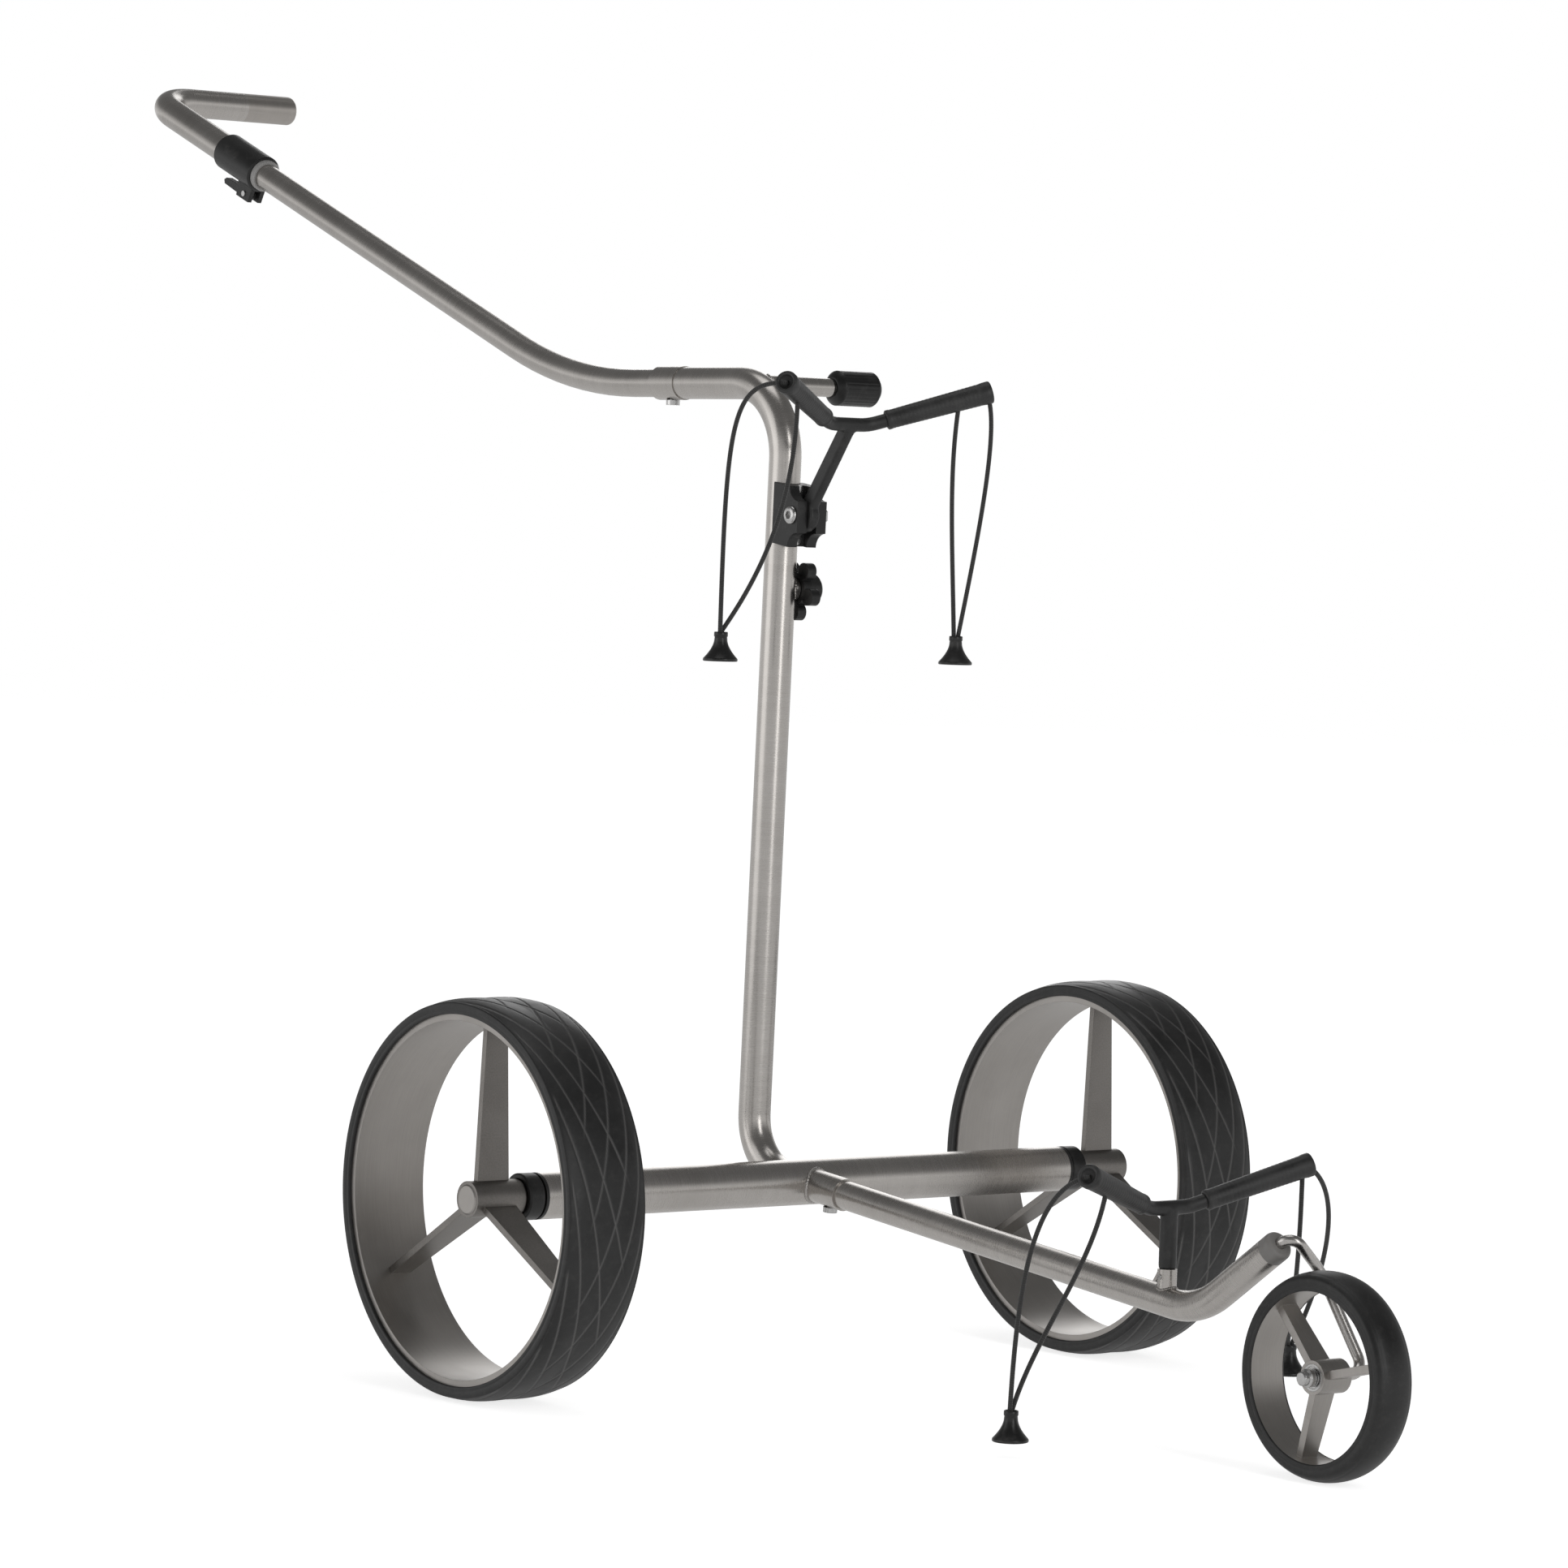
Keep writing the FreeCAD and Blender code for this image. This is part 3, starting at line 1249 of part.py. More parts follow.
def make_upper_bracket():
    """The folding bracket: hinge eye, tapered stem and two arms in one casting."""
    centre = hinge_point()
    joint = upper_joint_point() - centre
    body = new_body("upper_bracket", place())
    add_arms(body, *upper_arms())
    stem = new_sketch(body, "YZ_Plane")
    ahead = FreeCAD.Vector(joint.y, joint.z, 0).normalize()
    across = FreeCAD.Vector(-ahead.y, ahead.x, 0)
    flat_centre = FreeCAD.Vector(centre.y, centre.z, 0)
    root = flat_centre + ahead * dim.stem_start.value
    tip = flat_centre + ahead * joint.Length
    root_half = across * dim.stem_root_half.value
    tip_half = across * dim.stem_tip_half.value
    corners = [root + root_half, tip + tip_half, tip - tip_half, root - root_half]
    outline(stem, [(as_size(corner.x), as_size(corner.y)) for corner in corners])
    pad(body, stem, dim.eye_width)
    eye = new_sketch(body, "YZ_Plane")
    middle = (as_size(centre.y), as_size(centre.z))
    circle(eye, dim.eye_radius, middle)
    pad(body, eye, dim.eye_width)
    round_hole(body, "YZ_Plane", dim.hinge_radius + dim.running_gap, dim.eye_width * 2,
               centres=[middle], midplane=True)


def make_lower_boss():
    """The welded boss on the boom that takes the lower bracket."""
    floor = spine_height(-dim.lower_boss_reach)
    height = dim.lower_boss_top - floor
    base = vector(0, -dim.lower_boss_reach, floor)
    upright = FreeCAD.Placement(base, FreeCAD.Rotation())
    blank = cylinder("lower_boss_blank", dim.lower_boss_radius, height, upright)
    length = dim.lower_boss_radius * 6
    along = turn(X_AXIS, dim.boom_drop - 90)
    cope = cylinder("lower_boss_cope", dim.plug_radius, length, FreeCAD.Placement(
        base - along.multVec(vector(0, 0, length / 2)), along))
    socket = cylinder("lower_boss_socket", dim.stem_spigot, dim.stem_spigot_length * 2,
                      place(y=-dim.lower_boss_reach, z=dim.lower_boss_top - dim.stem_spigot_length))
    screw = cylinder("lower_boss_screw_hole", dim.saddle_screw_radius, dim.lower_boss_radius * 2, place(
        y=-dim.lower_boss_reach, z=dim.lower_boss_top - dim.stem_spigot_length / 2,
        rotation=turn(Y_AXIS, -90)))
    keep(cut("lower_bracket_boss", blank, fuse("lower_boss_tools", [cope, socket, screw])),
         "lower_bracket_boss")


def make_lower_bracket_screw():
    """The grub screw that holds the lower bracket's stem in its boss."""
    turned("lower_bracket_screw", [
        (0, dim.stem_spigot),
        (dim.saddle_screw_radius, dim.stem_spigot),
        (dim.saddle_screw_radius, dim.lower_boss_radius + dim.small_bevel),
        (0, dim.lower_boss_radius + dim.small_bevel),
    ], place(y=-dim.lower_boss_reach, z=dim.lower_boss_top - dim.stem_spigot_length / 2,
             rotation=turn(Y_AXIS, -90)))


def make_lower_bracket():
    """The fixed bracket: upright stem and two arms in one casting."""
    body = new_body("lower_bracket", place())
    add_arms(body, *lower_arms())
    seat = dim.lower_boss_top
    sketch = new_sketch(body, "XY_Plane", place(y=-dim.lower_boss_reach, z=seat))
    circle(sketch, dim.stem_radius)
    pad(body, sketch, dim.lower_joint_height - seat, midplane=False)
    spigot = new_sketch(body, "XY_Plane", place(y=-dim.lower_boss_reach, z=seat - dim.stem_spigot_length))
    circle(spigot, dim.stem_spigot)
    pad(body, spigot, dim.stem_spigot_length + dim.stem_embed, midplane=False)


def arm_tip(base, span, forward, up, side):
    """The centre of an arm's closed end."""
    return base + vector(span * side, -forward, up)


def make_cord(prefix, side, arms, inboard, cone_reach, cone_back, cone_drop):
    """An elastic loop from an arm's sleeve down to its cone, and the cone."""
    tip = arm_tip(*arms, side)
    root = arms[0] + vector(dim.arm_half * side, 0, 0)
    ahead = (tip - root).normalize()
    cord = dim.cord_radius.value
    clear = dim.sleeve_rubber_radius.value + dim.cord_gap.value + cord
    down = (FreeCAD.Vector(0, 0, -1) + ahead * ahead.z).normalize()
    inner = tip - ahead * inboard.value + down * (clear + cord)
    outer = tip + ahead * (cord * 2 + dim.cord_gap.value)
    cone_top = vector(cone_reach * side, tip.y, tip.z) + vector(0, cone_back, -cone_drop)
    fall = FreeCAD.Vector(0, 0, -1)
    split = (inner - outer).normalize() * (cord + dim.cord_split.value)
    depth = dim.cord_depth.value
    entry = FreeCAD.Vector(0, 0, dim.cord_entry.value)
    loop = [
        inner,
        cone_top + split + entry,
        cone_top + split + fall * depth,
        cone_top - split + fall * depth,
        cone_top - split + entry,
        outer,
    ]
    turn_back = cord + dim.cord_split.value / 2
    bend = dim.cord_bend.value
    shape = rod_shape(loop, [bend, turn_back, turn_back, bend], cord)
    shape_part(prefix + "_cord", shape)

    height = dim.cone_height
    bore = dim.cone_bore
    turned(prefix + "_cone", [
        (bore, 0),
        (dim.cone_top_radius, 0),
        (dim.cone_top_radius + dim.small_bevel, -dim.cone_waist),
        (dim.cone_radius, -height + dim.cone_rim),
        (dim.cone_radius, -height),
        (dim.cone_radius - dim.cone_wall, -height),
        (bore, -dim.cone_bore_depth),
    ], FreeCAD.Placement(cone_top, FreeCAD.Rotation()))


def make_cords():
    """The four cords, two on each bracket."""
    for side, name in ((LEFT, "left"), (RIGHT, "right")):
        make_cord("upper_" + name, side, upper_arms(), dim.cord_inboard, dim.upper_cone_reach,
                  dim.upper_cone_back, dim.upper_cone_drop)
    make_cord("lower_left", LEFT, lower_arms(), dim.cord_inboard, dim.left_cone_reach,
              dim.lower_cone_back, dim.left_cone_drop)
    make_cord("lower_right", RIGHT, lower_arms(), dim.short_inboard, dim.right_cone_reach,
              dim.lower_cone_back, dim.right_cone_drop)


# ---------------------------------------------------------------- upper mast and knobs

def make_upper_mast():
    """One tube: upper mast, top bend and the handle's socket."""
    body = new_body("upper_mast", place())
    corners = [
        (mast_reach(dim.seam_height), dim.seam_height),
        (mast_reach(dim.handle_height), dim.handle_height),
        (dim.socket_end, dim.handle_height),
    ]
    bent_tube(body, "YZ_Plane", corners, [dim.mast_bend], dim.tube_radius, dim.tube_bore)
    for height in saddle_screw_heights():
        frame = on_mast(dim.hinge_up + height, turn(X_AXIS, 90))
        round_hole(body, "XY_Plane", dim.saddle_screw_radius, dim.tube_radius * 2, offset=frame,
                   reverse=True)
    round_hole(body, "XY_Plane", dim.screw_radius + dim.running_gap, dim.tube_radius * 2,
               offset=handle_screw_frame(), reverse=True)


def make_mast_spigot():
    """The inner tube of the mast's telescoping joint, fixed in the upper mast."""
    step = dim.spigot_step + dim.running_gap
    points = [
        (dim.plug_bore, -dim.spigot_down),
        (dim.plug_radius, -dim.spigot_down),
        (dim.plug_radius, step),
        (dim.tube_bore, step),
        (dim.tube_bore, dim.spigot_up),
        (dim.plug_bore, dim.spigot_up),
    ]
    turned("mast_spigot", points, on_mast())


def make_handle_sleeve():
    """The reinforcing sleeve on the handle's socket."""
    frame = FreeCAD.Placement(vector(0, dim.socket_end - dim.sleeve_length, dim.handle_height),
                              turn(X_AXIS, -90))
    body = turned("handle_sleeve", [
        (dim.tube_radius, 0),
        (dim.sleeve_radius, 0),
        (dim.sleeve_radius, dim.sleeve_length),
        (dim.tube_radius, dim.sleeve_length),
    ], frame)
    down = turn(X_AXIS, -90)
    seat = FreeCAD.Placement(vector(0, 0, dim.sleeve_length - dim.screw_inset), down)
    round_hole(body, "XY_Plane", dim.screw_radius + dim.running_gap, dim.sleeve_radius * 2, offset=seat,
               reverse=True)


def make_clamp_knob():
    """The star knob of the mast clamp, and its stud."""
    frame = on_mast(-dim.clamp_drop, turn(Y_AXIS, 90))
    body = new_body("mast_clamp_knob", frame)
    lobe = new_sketch(body, "XY_Plane", place(z=dim.knob_start))
    circle(lobe, dim.knob_lobe, (dim.knob_lobe_circle, 0))
    core = new_sketch(body, "XY_Plane", place(z=dim.knob_start))
    circle(core, dim.knob_core)
    pad(body, core, dim.knob_flange, midplane=False)
    polar_copies(body, pad(body, lobe, dim.knob_flange, midplane=False), LOBE_COUNT)
    shoulder = dim.knob_start + dim.knob_flange
    crown = dim.knob_core - dim.small_bevel
    stud_end = dim.knob_start + dim.knob_bore
    domed_edge = 2
    revolve(body, [
        (0, shoulder - dim.embed),
        (dim.knob_core, shoulder - dim.embed),
        (crown, dim.knob_end - dim.knob_dome),
        (0, dim.knob_end),
    ], {domed_edge: (arc_radius(crown, dim.knob_dome), -1)})
    round_hole(body, "XY_Plane", dim.clamp_stud_radius, stud_end, reverse=True)
    turned("mast_clamp_stud", [
        (0, dim.plug_radius + dim.running_gap),
        (dim.clamp_stud_radius, dim.plug_radius + dim.running_gap),
        (dim.clamp_stud_radius, stud_end),
        (0, stud_end),
    ], frame)


def make_accessory_stub():
    """The short rod welded to the mast's bend, threaded at its free end."""
    frame = place(y=dim.accessory_back, z=dim.accessory_height, rotation=turn(Y_AXIS, 90))
    rod = cylinder("accessory_rod", dim.accessory_radius, dim.accessory_shoulder, frame)
    thread = cylinder("accessory_thread", dim.accessory_thread, dim.accessory_tip, frame)
    blank = fuse("accessory_blank", [rod, thread])
    bend = document.addObject("Part::Torus", "accessory_cope")
    bend.setExpression("Radius1", dim.mast_bend.text)
    bend.setExpression("Radius2", dim.tube_radius.text)
    half_turn = (90 + dim.mast_lean.value) / 2
    tangent_length = dim.mast_bend.value * math.tan(math.radians(half_turn))
    centre = vector(0, mast_reach(dim.handle_height) + tangent_length, dim.handle_height - dim.mast_bend)
    bend.Placement = FreeCAD.Placement(centre, turn(Y_AXIS, 90))
    keep(cut("accessory_stub", blank, bend), "accessory_stub")


def make_accessory_knob():
    """The barrel knob that turns on the accessory stub's thread."""
    frame = place(x=dim.barrel_start, y=dim.accessory_back, z=dim.accessory_height,
                  rotation=turn(Y_AXIS, 90))
    bore = dim.accessory_thread + dim.running_gap
    radius = dim.barrel_radius
    bevel = dim.barrel_bevel
    turned("accessory_knob", [
        (bore, 0),
        (radius - bevel, 0),
        (radius, bevel),
        (radius, dim.barrel_length - bevel),
        (radius - bevel, dim.barrel_length),
        (0, dim.barrel_length),
        (0, dim.barrel_bore_depth),
        (bore, dim.barrel_bore_depth),
    ], frame)


# ---------------------------------------------------------------- handle and grip

def handle_height_at(reach):
    """Height of the handle's rising axis at a distance behind the rear axle."""
    return dim.handle_height + (reach - dim.handle_corner) * tangent(dim.handle_rise)


def make_handle_tube():
    """The handle: plugged into its socket, a long bend, then the rise to the grip."""
    body = new_body("handle_tube", place())
    corners = [
        (dim.handle_start, dim.handle_height),
        (dim.handle_corner, dim.handle_height),
        (dim.handle_end, handle_height_at(dim.handle_end)),
    ]
    bent_tube(body, "YZ_Plane", corners, [dim.handle_bend], dim.plug_radius, dim.plug_bore)


def make_grip_tube():
    """The L-shaped grip tube: along the handle, then across the trolley."""
    body = new_body("grip_tube", on_grip())
    corners = [
        (0, -dim.grip_start),
        (OFF_ORIGIN, OFF_ORIGIN),
        (dim.grip_reach, 0),
    ]
    bent_tube(body, "XY_Plane", corners, [dim.grip_bend], dim.tube_radius, dim.tube_bore)


def make_grip_cap():
    """The end piece plugged into the grip's free end, with a rounded edge."""
    frame = on_grip()
    rounding = dim.grip_cap_round
    rounded_edge = 4
    frame = frame.multiply(place(x=dim.grip_reach, rotation=turn(Y_AXIS, 90)))
    turned("grip_end_cap", [
        (0, -dim.grip_cap_plug),
        (dim.tube_bore - dim.running_gap, -dim.grip_cap_plug),
        (dim.tube_bore - dim.running_gap, 0),
        (dim.tube_radius, 0),
        (dim.tube_radius, dim.grip_cap - rounding),
        (dim.tube_radius - rounding, dim.grip_cap),
        (0, dim.grip_cap),
    ], frame, {rounded_edge: (rounding, -1)})


def make_clamp_collar():
    """The clamp collar: it grips the handle tube and lets the grip tube swivel."""
    along = turn(X_AXIS, -90)
    frame = on_grip(-dim.collar_front).multiply(FreeCAD.Placement(ORIGIN, along))
    length = dim.collar_front - dim.collar_rear
    step = dim.collar_front - dim.collar_step
    small = dim.tube_bore
    large = dim.tube_radius + dim.running_gap
    radius = dim.collar_radius
    body = new_body("grip_clamp_collar", frame)
    revolve(body, [
        (small, 0),
        (radius - dim.soft_bevel, 0),
        (radius, dim.soft_bevel),
        (radius, length - dim.soft_bevel),
        (radius - dim.soft_bevel, length),
        (large, length),
        (large, step),
        (small, step),
    ])
    lugs = new_sketch(body, "YZ_Plane")
    outline(lugs, [
        (radius - dim.lug_embed, dim.ring_seat / 2),
        (dim.lug_depth, dim.ring_seat / 2 + dim.lug_bevel),
        (dim.lug_depth, dim.lug_length - dim.lug_bevel),
        (radius - dim.lug_embed, dim.lug_length),
    ])
    pad(body, lugs, dim.lug_width)
    slot = new_sketch(body, "YZ_Plane")
    outline(slot, [
        (radius + SLOT_FLOOR, -SLOT_MARGIN),
        (dim.lug_depth + SLOT_MARGIN, -SLOT_MARGIN),
        (dim.lug_depth + SLOT_MARGIN, dim.lug_length + SLOT_MARGIN),
        (radius + SLOT_FLOOR, dim.lug_length + SLOT_MARGIN),
    ])
    pocket(body, slot, dim.lug_slot, midplane=True)
    round_hole(body, "YZ_Plane", dim.pin_radius, dim.lug_width * 2, centres=[pin_centre()], midplane=True)


def pin_centre():
    """The lever's pin in the collar's own plane: below the axis, and along it."""
    return (dim.lug_depth - dim.pin_inset, dim.lug_length / 2)


def collar_frame():
    """The clamp collar's frame: Z along the handle, Y down."""
    return on_grip(-dim.collar_front).multiply(FreeCAD.Placement(ORIGIN, turn(X_AXIS, -90)))


def make_clamp_pin():
    """The pin of the clamp lever."""
    below, along = pin_centre()
    centre = collar_frame().multVec(vector(0, below, along))
    half = dim.lug_width / 2 + dim.small_bevel
    turned("clamp_lever_pin", [
        (0, -half),
        (dim.pin_radius, -half),
        (dim.pin_radius, half),
        (0, half),
    ], facing(X_AXIS, centre))


def make_clamp_lever():
    """The cam lever under the collar."""
    below, along = pin_centre()
    body = new_body("grip_clamp_lever", collar_frame())
    eye = new_sketch(body, "YZ_Plane")
    circle(eye, dim.pin_radius * 2, pin_centre())
    pad(body, eye, dim.lever_width)
    arm = new_sketch(body, "YZ_Plane")
    outline(arm, [(below + depth, along + dim.lever_length * share + step)
                  for depth, share, step in LEVER_OUTLINE])
    pad(body, arm, dim.lever_width)
    round_hole(body, "YZ_Plane", dim.pin_radius + dim.running_gap, dim.lug_width * 2,
               centres=[pin_centre()], midplane=True)


def make_clamp_ring():
    """The light ring in front of the clamp collar."""
    turned("grip_clamp_ring", [
        (dim.tube_bore, -dim.ring_seat),
        (dim.ring_seat_radius - dim.small_bevel, -dim.ring_seat),
        (dim.ring_seat_radius, -dim.ring_seat + dim.small_bevel),
        (dim.ring_seat_radius, 0),
        (dim.tube_bore, 0),
    ], collar_frame())


# ---------------------------------------------------------------- assembly

def build():
    """Make every sub-part."""
    make_axle_tube()
    make_lower_mast()
    make_clamp_boss()
    make_lock_screw("boom_lock_screw", boom_screw_frame(), dim.tube_radius)
    for side, prefix in ((LEFT, "left"), (RIGHT, "right")):
        make_rear_wheel(side, prefix)
    make_front_tube()
    make_nose_cap()
    make_front_fork()
    make_front_wheel()
    make_upper_mast()
    make_mast_spigot()
    make_handle_sleeve()
    make_lock_screw("handle_lock_screw", handle_screw_frame(), dim.sleeve_radius)
    make_clamp_knob()
    make_accessory_stub()
    make_accessory_knob()
    make_saddle()
    make_saddle_screws()
    make_hinge_bolt()
    make_upper_bracket()
    make_arm_sleeves("upper_arm_sleeves", *upper_arms())
    make_lower_boss()
    make_lower_bracket_screw()
    make_lower_bracket()
    make_arm_sleeves("lower_arm_sleeves", *lower_arms())
    make_cords()
    make_handle_tube()
    make_grip_tube()
    make_grip_cap()
    make_clamp_collar()
    make_clamp_ring()
    make_clamp_lever()
    make_clamp_pin()
    document.recompute()


def check():
    """Stop if any object failed, or if a sub-part has no valid shape."""
    problems = []
    for item in document.Objects:
        if "Invalid" in item.State or "Error" in item.State:
            problems.append("{}: {}".format(item.Name, item.State))
    for item in sub_parts:
        if item.Shape.isNull() or not item.Shape.isValid():
            problems.append("{}: no valid shape".format(item.Label))
    if problems:
        raise RuntimeError("; ".join(problems))


def export():
    """Write each sub-part's shape to its own file."""
    os.makedirs("parts", exist_ok=True)
    for item in sub_parts:
        item.Shape.exportStep("parts/{}.step".format(item.Label))


build()
check()
export()
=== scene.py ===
"""Golf push trolley: finishes, fine detail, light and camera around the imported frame.

The row frame is in metres: +Z up, +Y towards the handle, +X along the rear axle.
"""

import json
import math

import bpy
import numpy as np
from mathutils import Matrix, Vector


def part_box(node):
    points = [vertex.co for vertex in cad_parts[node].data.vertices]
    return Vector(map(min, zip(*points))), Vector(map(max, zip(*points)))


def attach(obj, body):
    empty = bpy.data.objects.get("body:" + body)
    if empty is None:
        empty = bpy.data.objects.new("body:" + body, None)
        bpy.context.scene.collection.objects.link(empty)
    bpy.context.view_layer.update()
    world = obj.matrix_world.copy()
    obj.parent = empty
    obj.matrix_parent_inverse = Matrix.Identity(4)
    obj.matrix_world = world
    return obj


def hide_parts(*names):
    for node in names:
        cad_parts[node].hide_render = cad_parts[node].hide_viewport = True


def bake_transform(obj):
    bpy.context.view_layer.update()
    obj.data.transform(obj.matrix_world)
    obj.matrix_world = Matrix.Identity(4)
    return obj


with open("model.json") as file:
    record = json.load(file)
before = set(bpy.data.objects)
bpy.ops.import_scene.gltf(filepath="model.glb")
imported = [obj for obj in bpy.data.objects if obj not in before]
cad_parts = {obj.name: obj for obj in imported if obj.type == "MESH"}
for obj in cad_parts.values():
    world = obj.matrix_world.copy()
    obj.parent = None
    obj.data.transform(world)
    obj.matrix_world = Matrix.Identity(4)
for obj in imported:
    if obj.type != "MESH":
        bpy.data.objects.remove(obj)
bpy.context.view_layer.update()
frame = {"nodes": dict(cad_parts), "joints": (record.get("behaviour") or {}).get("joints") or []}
nodes = frame["nodes"]
joints = {joint["name"]: joint for joint in frame["joints"]}

MM = 0.001
X_AXIS = np.array((1.0, 0.0, 0.0))
Y_AXIS = np.array((0.0, 1.0, 0.0))
Z_AXIS = np.array((0.0, 0.0, 1.0))

# the tubes' outside radii and the radii of their bends, in metres
TUBE_RADIUS = 12.5 * MM
PLUG_RADIUS = 11.0 * MM
AXLE_RADIUS = 17.5 * MM
SPINE_BEND = 43 * MM
MAST_BEND = 58 * MM
BOOM_BEND = 72 * MM
HANDLE_BEND = 450 * MM
GRIP_BEND = 38 * MM


# ---------------------------------------------------------------- small vector helpers

def unit(vector):
    """The vector at length one."""
    vector = np.asarray(vector, float)
    return vector / np.linalg.norm(vector)


def joint_point(name):
    """A joint's place at rest."""
    return np.array(joints[name]["pos_m"], float)


def joint_axis(name):
    """A joint's axis at rest, at length one."""
    return unit(joints[name]["axis"])


def box_middle(node):
    """The middle of a node's box, and half its size."""
    low, high = (np.array(corner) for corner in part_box(node))
    return (low + high) / 2, (high - low) / 2


def meeting(first, along, second, across):
    """The point of the line first + t * along nearest to the line second + s * across."""
    system = np.stack((along, -across), axis=1)
    reach = np.linalg.lstsq(system, second - first, rcond=None)[0]
    return first + along * reach[0]


def side_frame(axis):
    """Two unit vectors square to an axis and to each other."""
    helper = X_AXIS if abs(axis[0]) < 0.9 else Y_AXIS
    first = unit(np.cross(axis, helper))
    return first, np.cross(axis, first)


def smooth_step(value):
    """0 to 1 with soft ends."""
    clipped = np.clip(value, 0.0, 1.0)
    return clipped * clipped * (3.0 - 2.0 * clipped)


# ---------------------------------------------------------------- material graphs

class Graph:
    """A material's nodes, made with short calls."""

    def __init__(self, name):
        self.material = bpy.data.materials.new(name)
        self.material.use_nodes = True
        self.tree = self.material.node_tree
        self.tree.nodes.clear()

    def add(self, kind, inputs=None, **settings):
        """A new node with its settings and inputs."""
        node = self.tree.nodes.new(kind)
        for name, value in settings.items():
            setattr(node, name, value)
        for name, value in (inputs or {}).items():
            self.feed(node.inputs[name], value)
        return node

    def feed(self, socket, value):
        """Link a socket to another one, or give it a plain value."""
        if isinstance(value, bpy.types.NodeSocket):
            self.tree.links.new(value, socket)
        else:
            socket.default_value = value

    def place(self):
        """The point on the piece at rest, in metres."""
        return self.add("ShaderNodeTexCoord").outputs["Object"]

    def stored(self, name):
        """A vector stored on the mesh."""
        return self.add("ShaderNodeAttribute", attribute_name=name).outputs["Vector"]

    def stored_value(self, name):
        """A number stored on the mesh."""
        return self.add("ShaderNodeAttribute", attribute_name=name).outputs["Fac"]

    def stretch(self, vector, scale):
        """A vector with each part multiplied."""
        return self.add("ShaderNodeVectorMath", {0: vector, 1: scale}, operation="MULTIPLY").outputs[0]

    def noise(self, vector, scale, detail=2.0, roughness=0.5):
        """Smooth noise from 0 to 1."""
        values = {"Vector": vector, "Scale": scale, "Detail": detail, "Roughness": roughness}
        return self.add("ShaderNodeTexNoise", values).outputs["Fac"]

    def cells(self, vector, scale):
        """Distance to the nearest of scattered points."""
        return self.add("ShaderNodeTexVoronoi", {"Vector": vector, "Scale": scale}).outputs["Distance"]

    def sum(self, first, second):
        """The sum of two numbers."""
        return self.add("ShaderNodeMath", {0: first, 1: second}, operation="ADD").outputs[0]

    def times(self, first, second):
        """The product of two numbers."""
        return self.add("ShaderNodeMath", {0: first, 1: second}, operation="MULTIPLY").outputs[0]

    def sine(self, value):
        """The sine of a number."""
        return self.add("ShaderNodeMath", {0: value}, operation="SINE").outputs[0]

    def span(self, value, low, high, to_low, to_high):
        """A number moved from one range to another, and kept inside it."""
        values = {"Value": value, "From Min": low, "From Max": high, "To Min": to_low, "To Max": to_high}
        return self.add("ShaderNodeMapRange", values).outputs["Result"]

    def blend(self, share, first, second):
        """A colour between two others."""
        node = self.add("ShaderNodeMix", {"Factor": share}, data_type="RGBA")
        self.feed(node.inputs[6], first)
        self.feed(node.inputs[7], second)
        return node.outputs[2]

    def bump(self, height, strength, distance, normal=None):
        """A surface normal from a height."""
        values = {"Height": height, "Strength": strength, "Distance": distance}
        if normal is not None:
            values["Normal"] = normal
        return self.add("ShaderNodeBump", values).outputs["Normal"]

    def eased_edges(self, radius):
        """The surface normal with edges rounded by a small radius."""
        return self.add("ShaderNodeBevel", {"Radius": radius}, samples=4).outputs["Normal"]

    def finish(self, inputs):
        """The surface shader."""
        shader = self.add("ShaderNodeBsdfPrincipled", inputs)
        self.add("ShaderNodeOutputMaterial", {"Surface": shader.outputs["BSDF"]})
        return self.material


def grey(value, warmth=0.0):
    """A grey, a little warm if asked."""
    return (value * (1.0 + warmth), value, value * (1.0 - warmth), 1.0)


def ground_steel(name, light, dark, shine):
    """Steel tube with a satin finish ground around the tube, and faint hair lines along it."""
    graph = Graph(name)
    lay = graph.stored("lay")
    fine = graph.noise(graph.stretch(lay, (60.0, 60.0, 2200.0)), 1.0, 2.0, 0.5)
    rings = graph.noise(graph.stretch(lay, (16.0, 16.0, 90.0)), 1.0, 1.0)
    cloud = graph.noise(lay, 11.0, 3.0)
    hairs = graph.noise(graph.stretch(lay, (1500.0, 1500.0, 24.0)), 1.0, 1.0)
    hair = graph.span(hairs, 0.66, 0.74, 0.0, 1.0)
    mixed = graph.sum(graph.times(fine, 0.35), graph.sum(graph.times(rings, 0.2), graph.times(cloud, 0.45)))
    share = graph.span(mixed, 0.30, 0.70, 0.0, 1.0)
    colour = graph.blend(share, dark, light)
    colour = graph.blend(graph.times(hair, 0.2), colour, grey(0.6, 0.02))
    rough = graph.sum(graph.span(fine, 0.3, 0.7, shine - 0.02, shine + 0.03),
                      graph.span(cloud, 0.35, 0.65, -0.02, 0.02))
    normal = graph.bump(graph.sum(fine, graph.times(hair, -0.6)), 0.04, 0.00003)
    return graph.finish({"Base Color": colour, "Metallic": 1.0, "Roughness": rough, "Normal": normal})


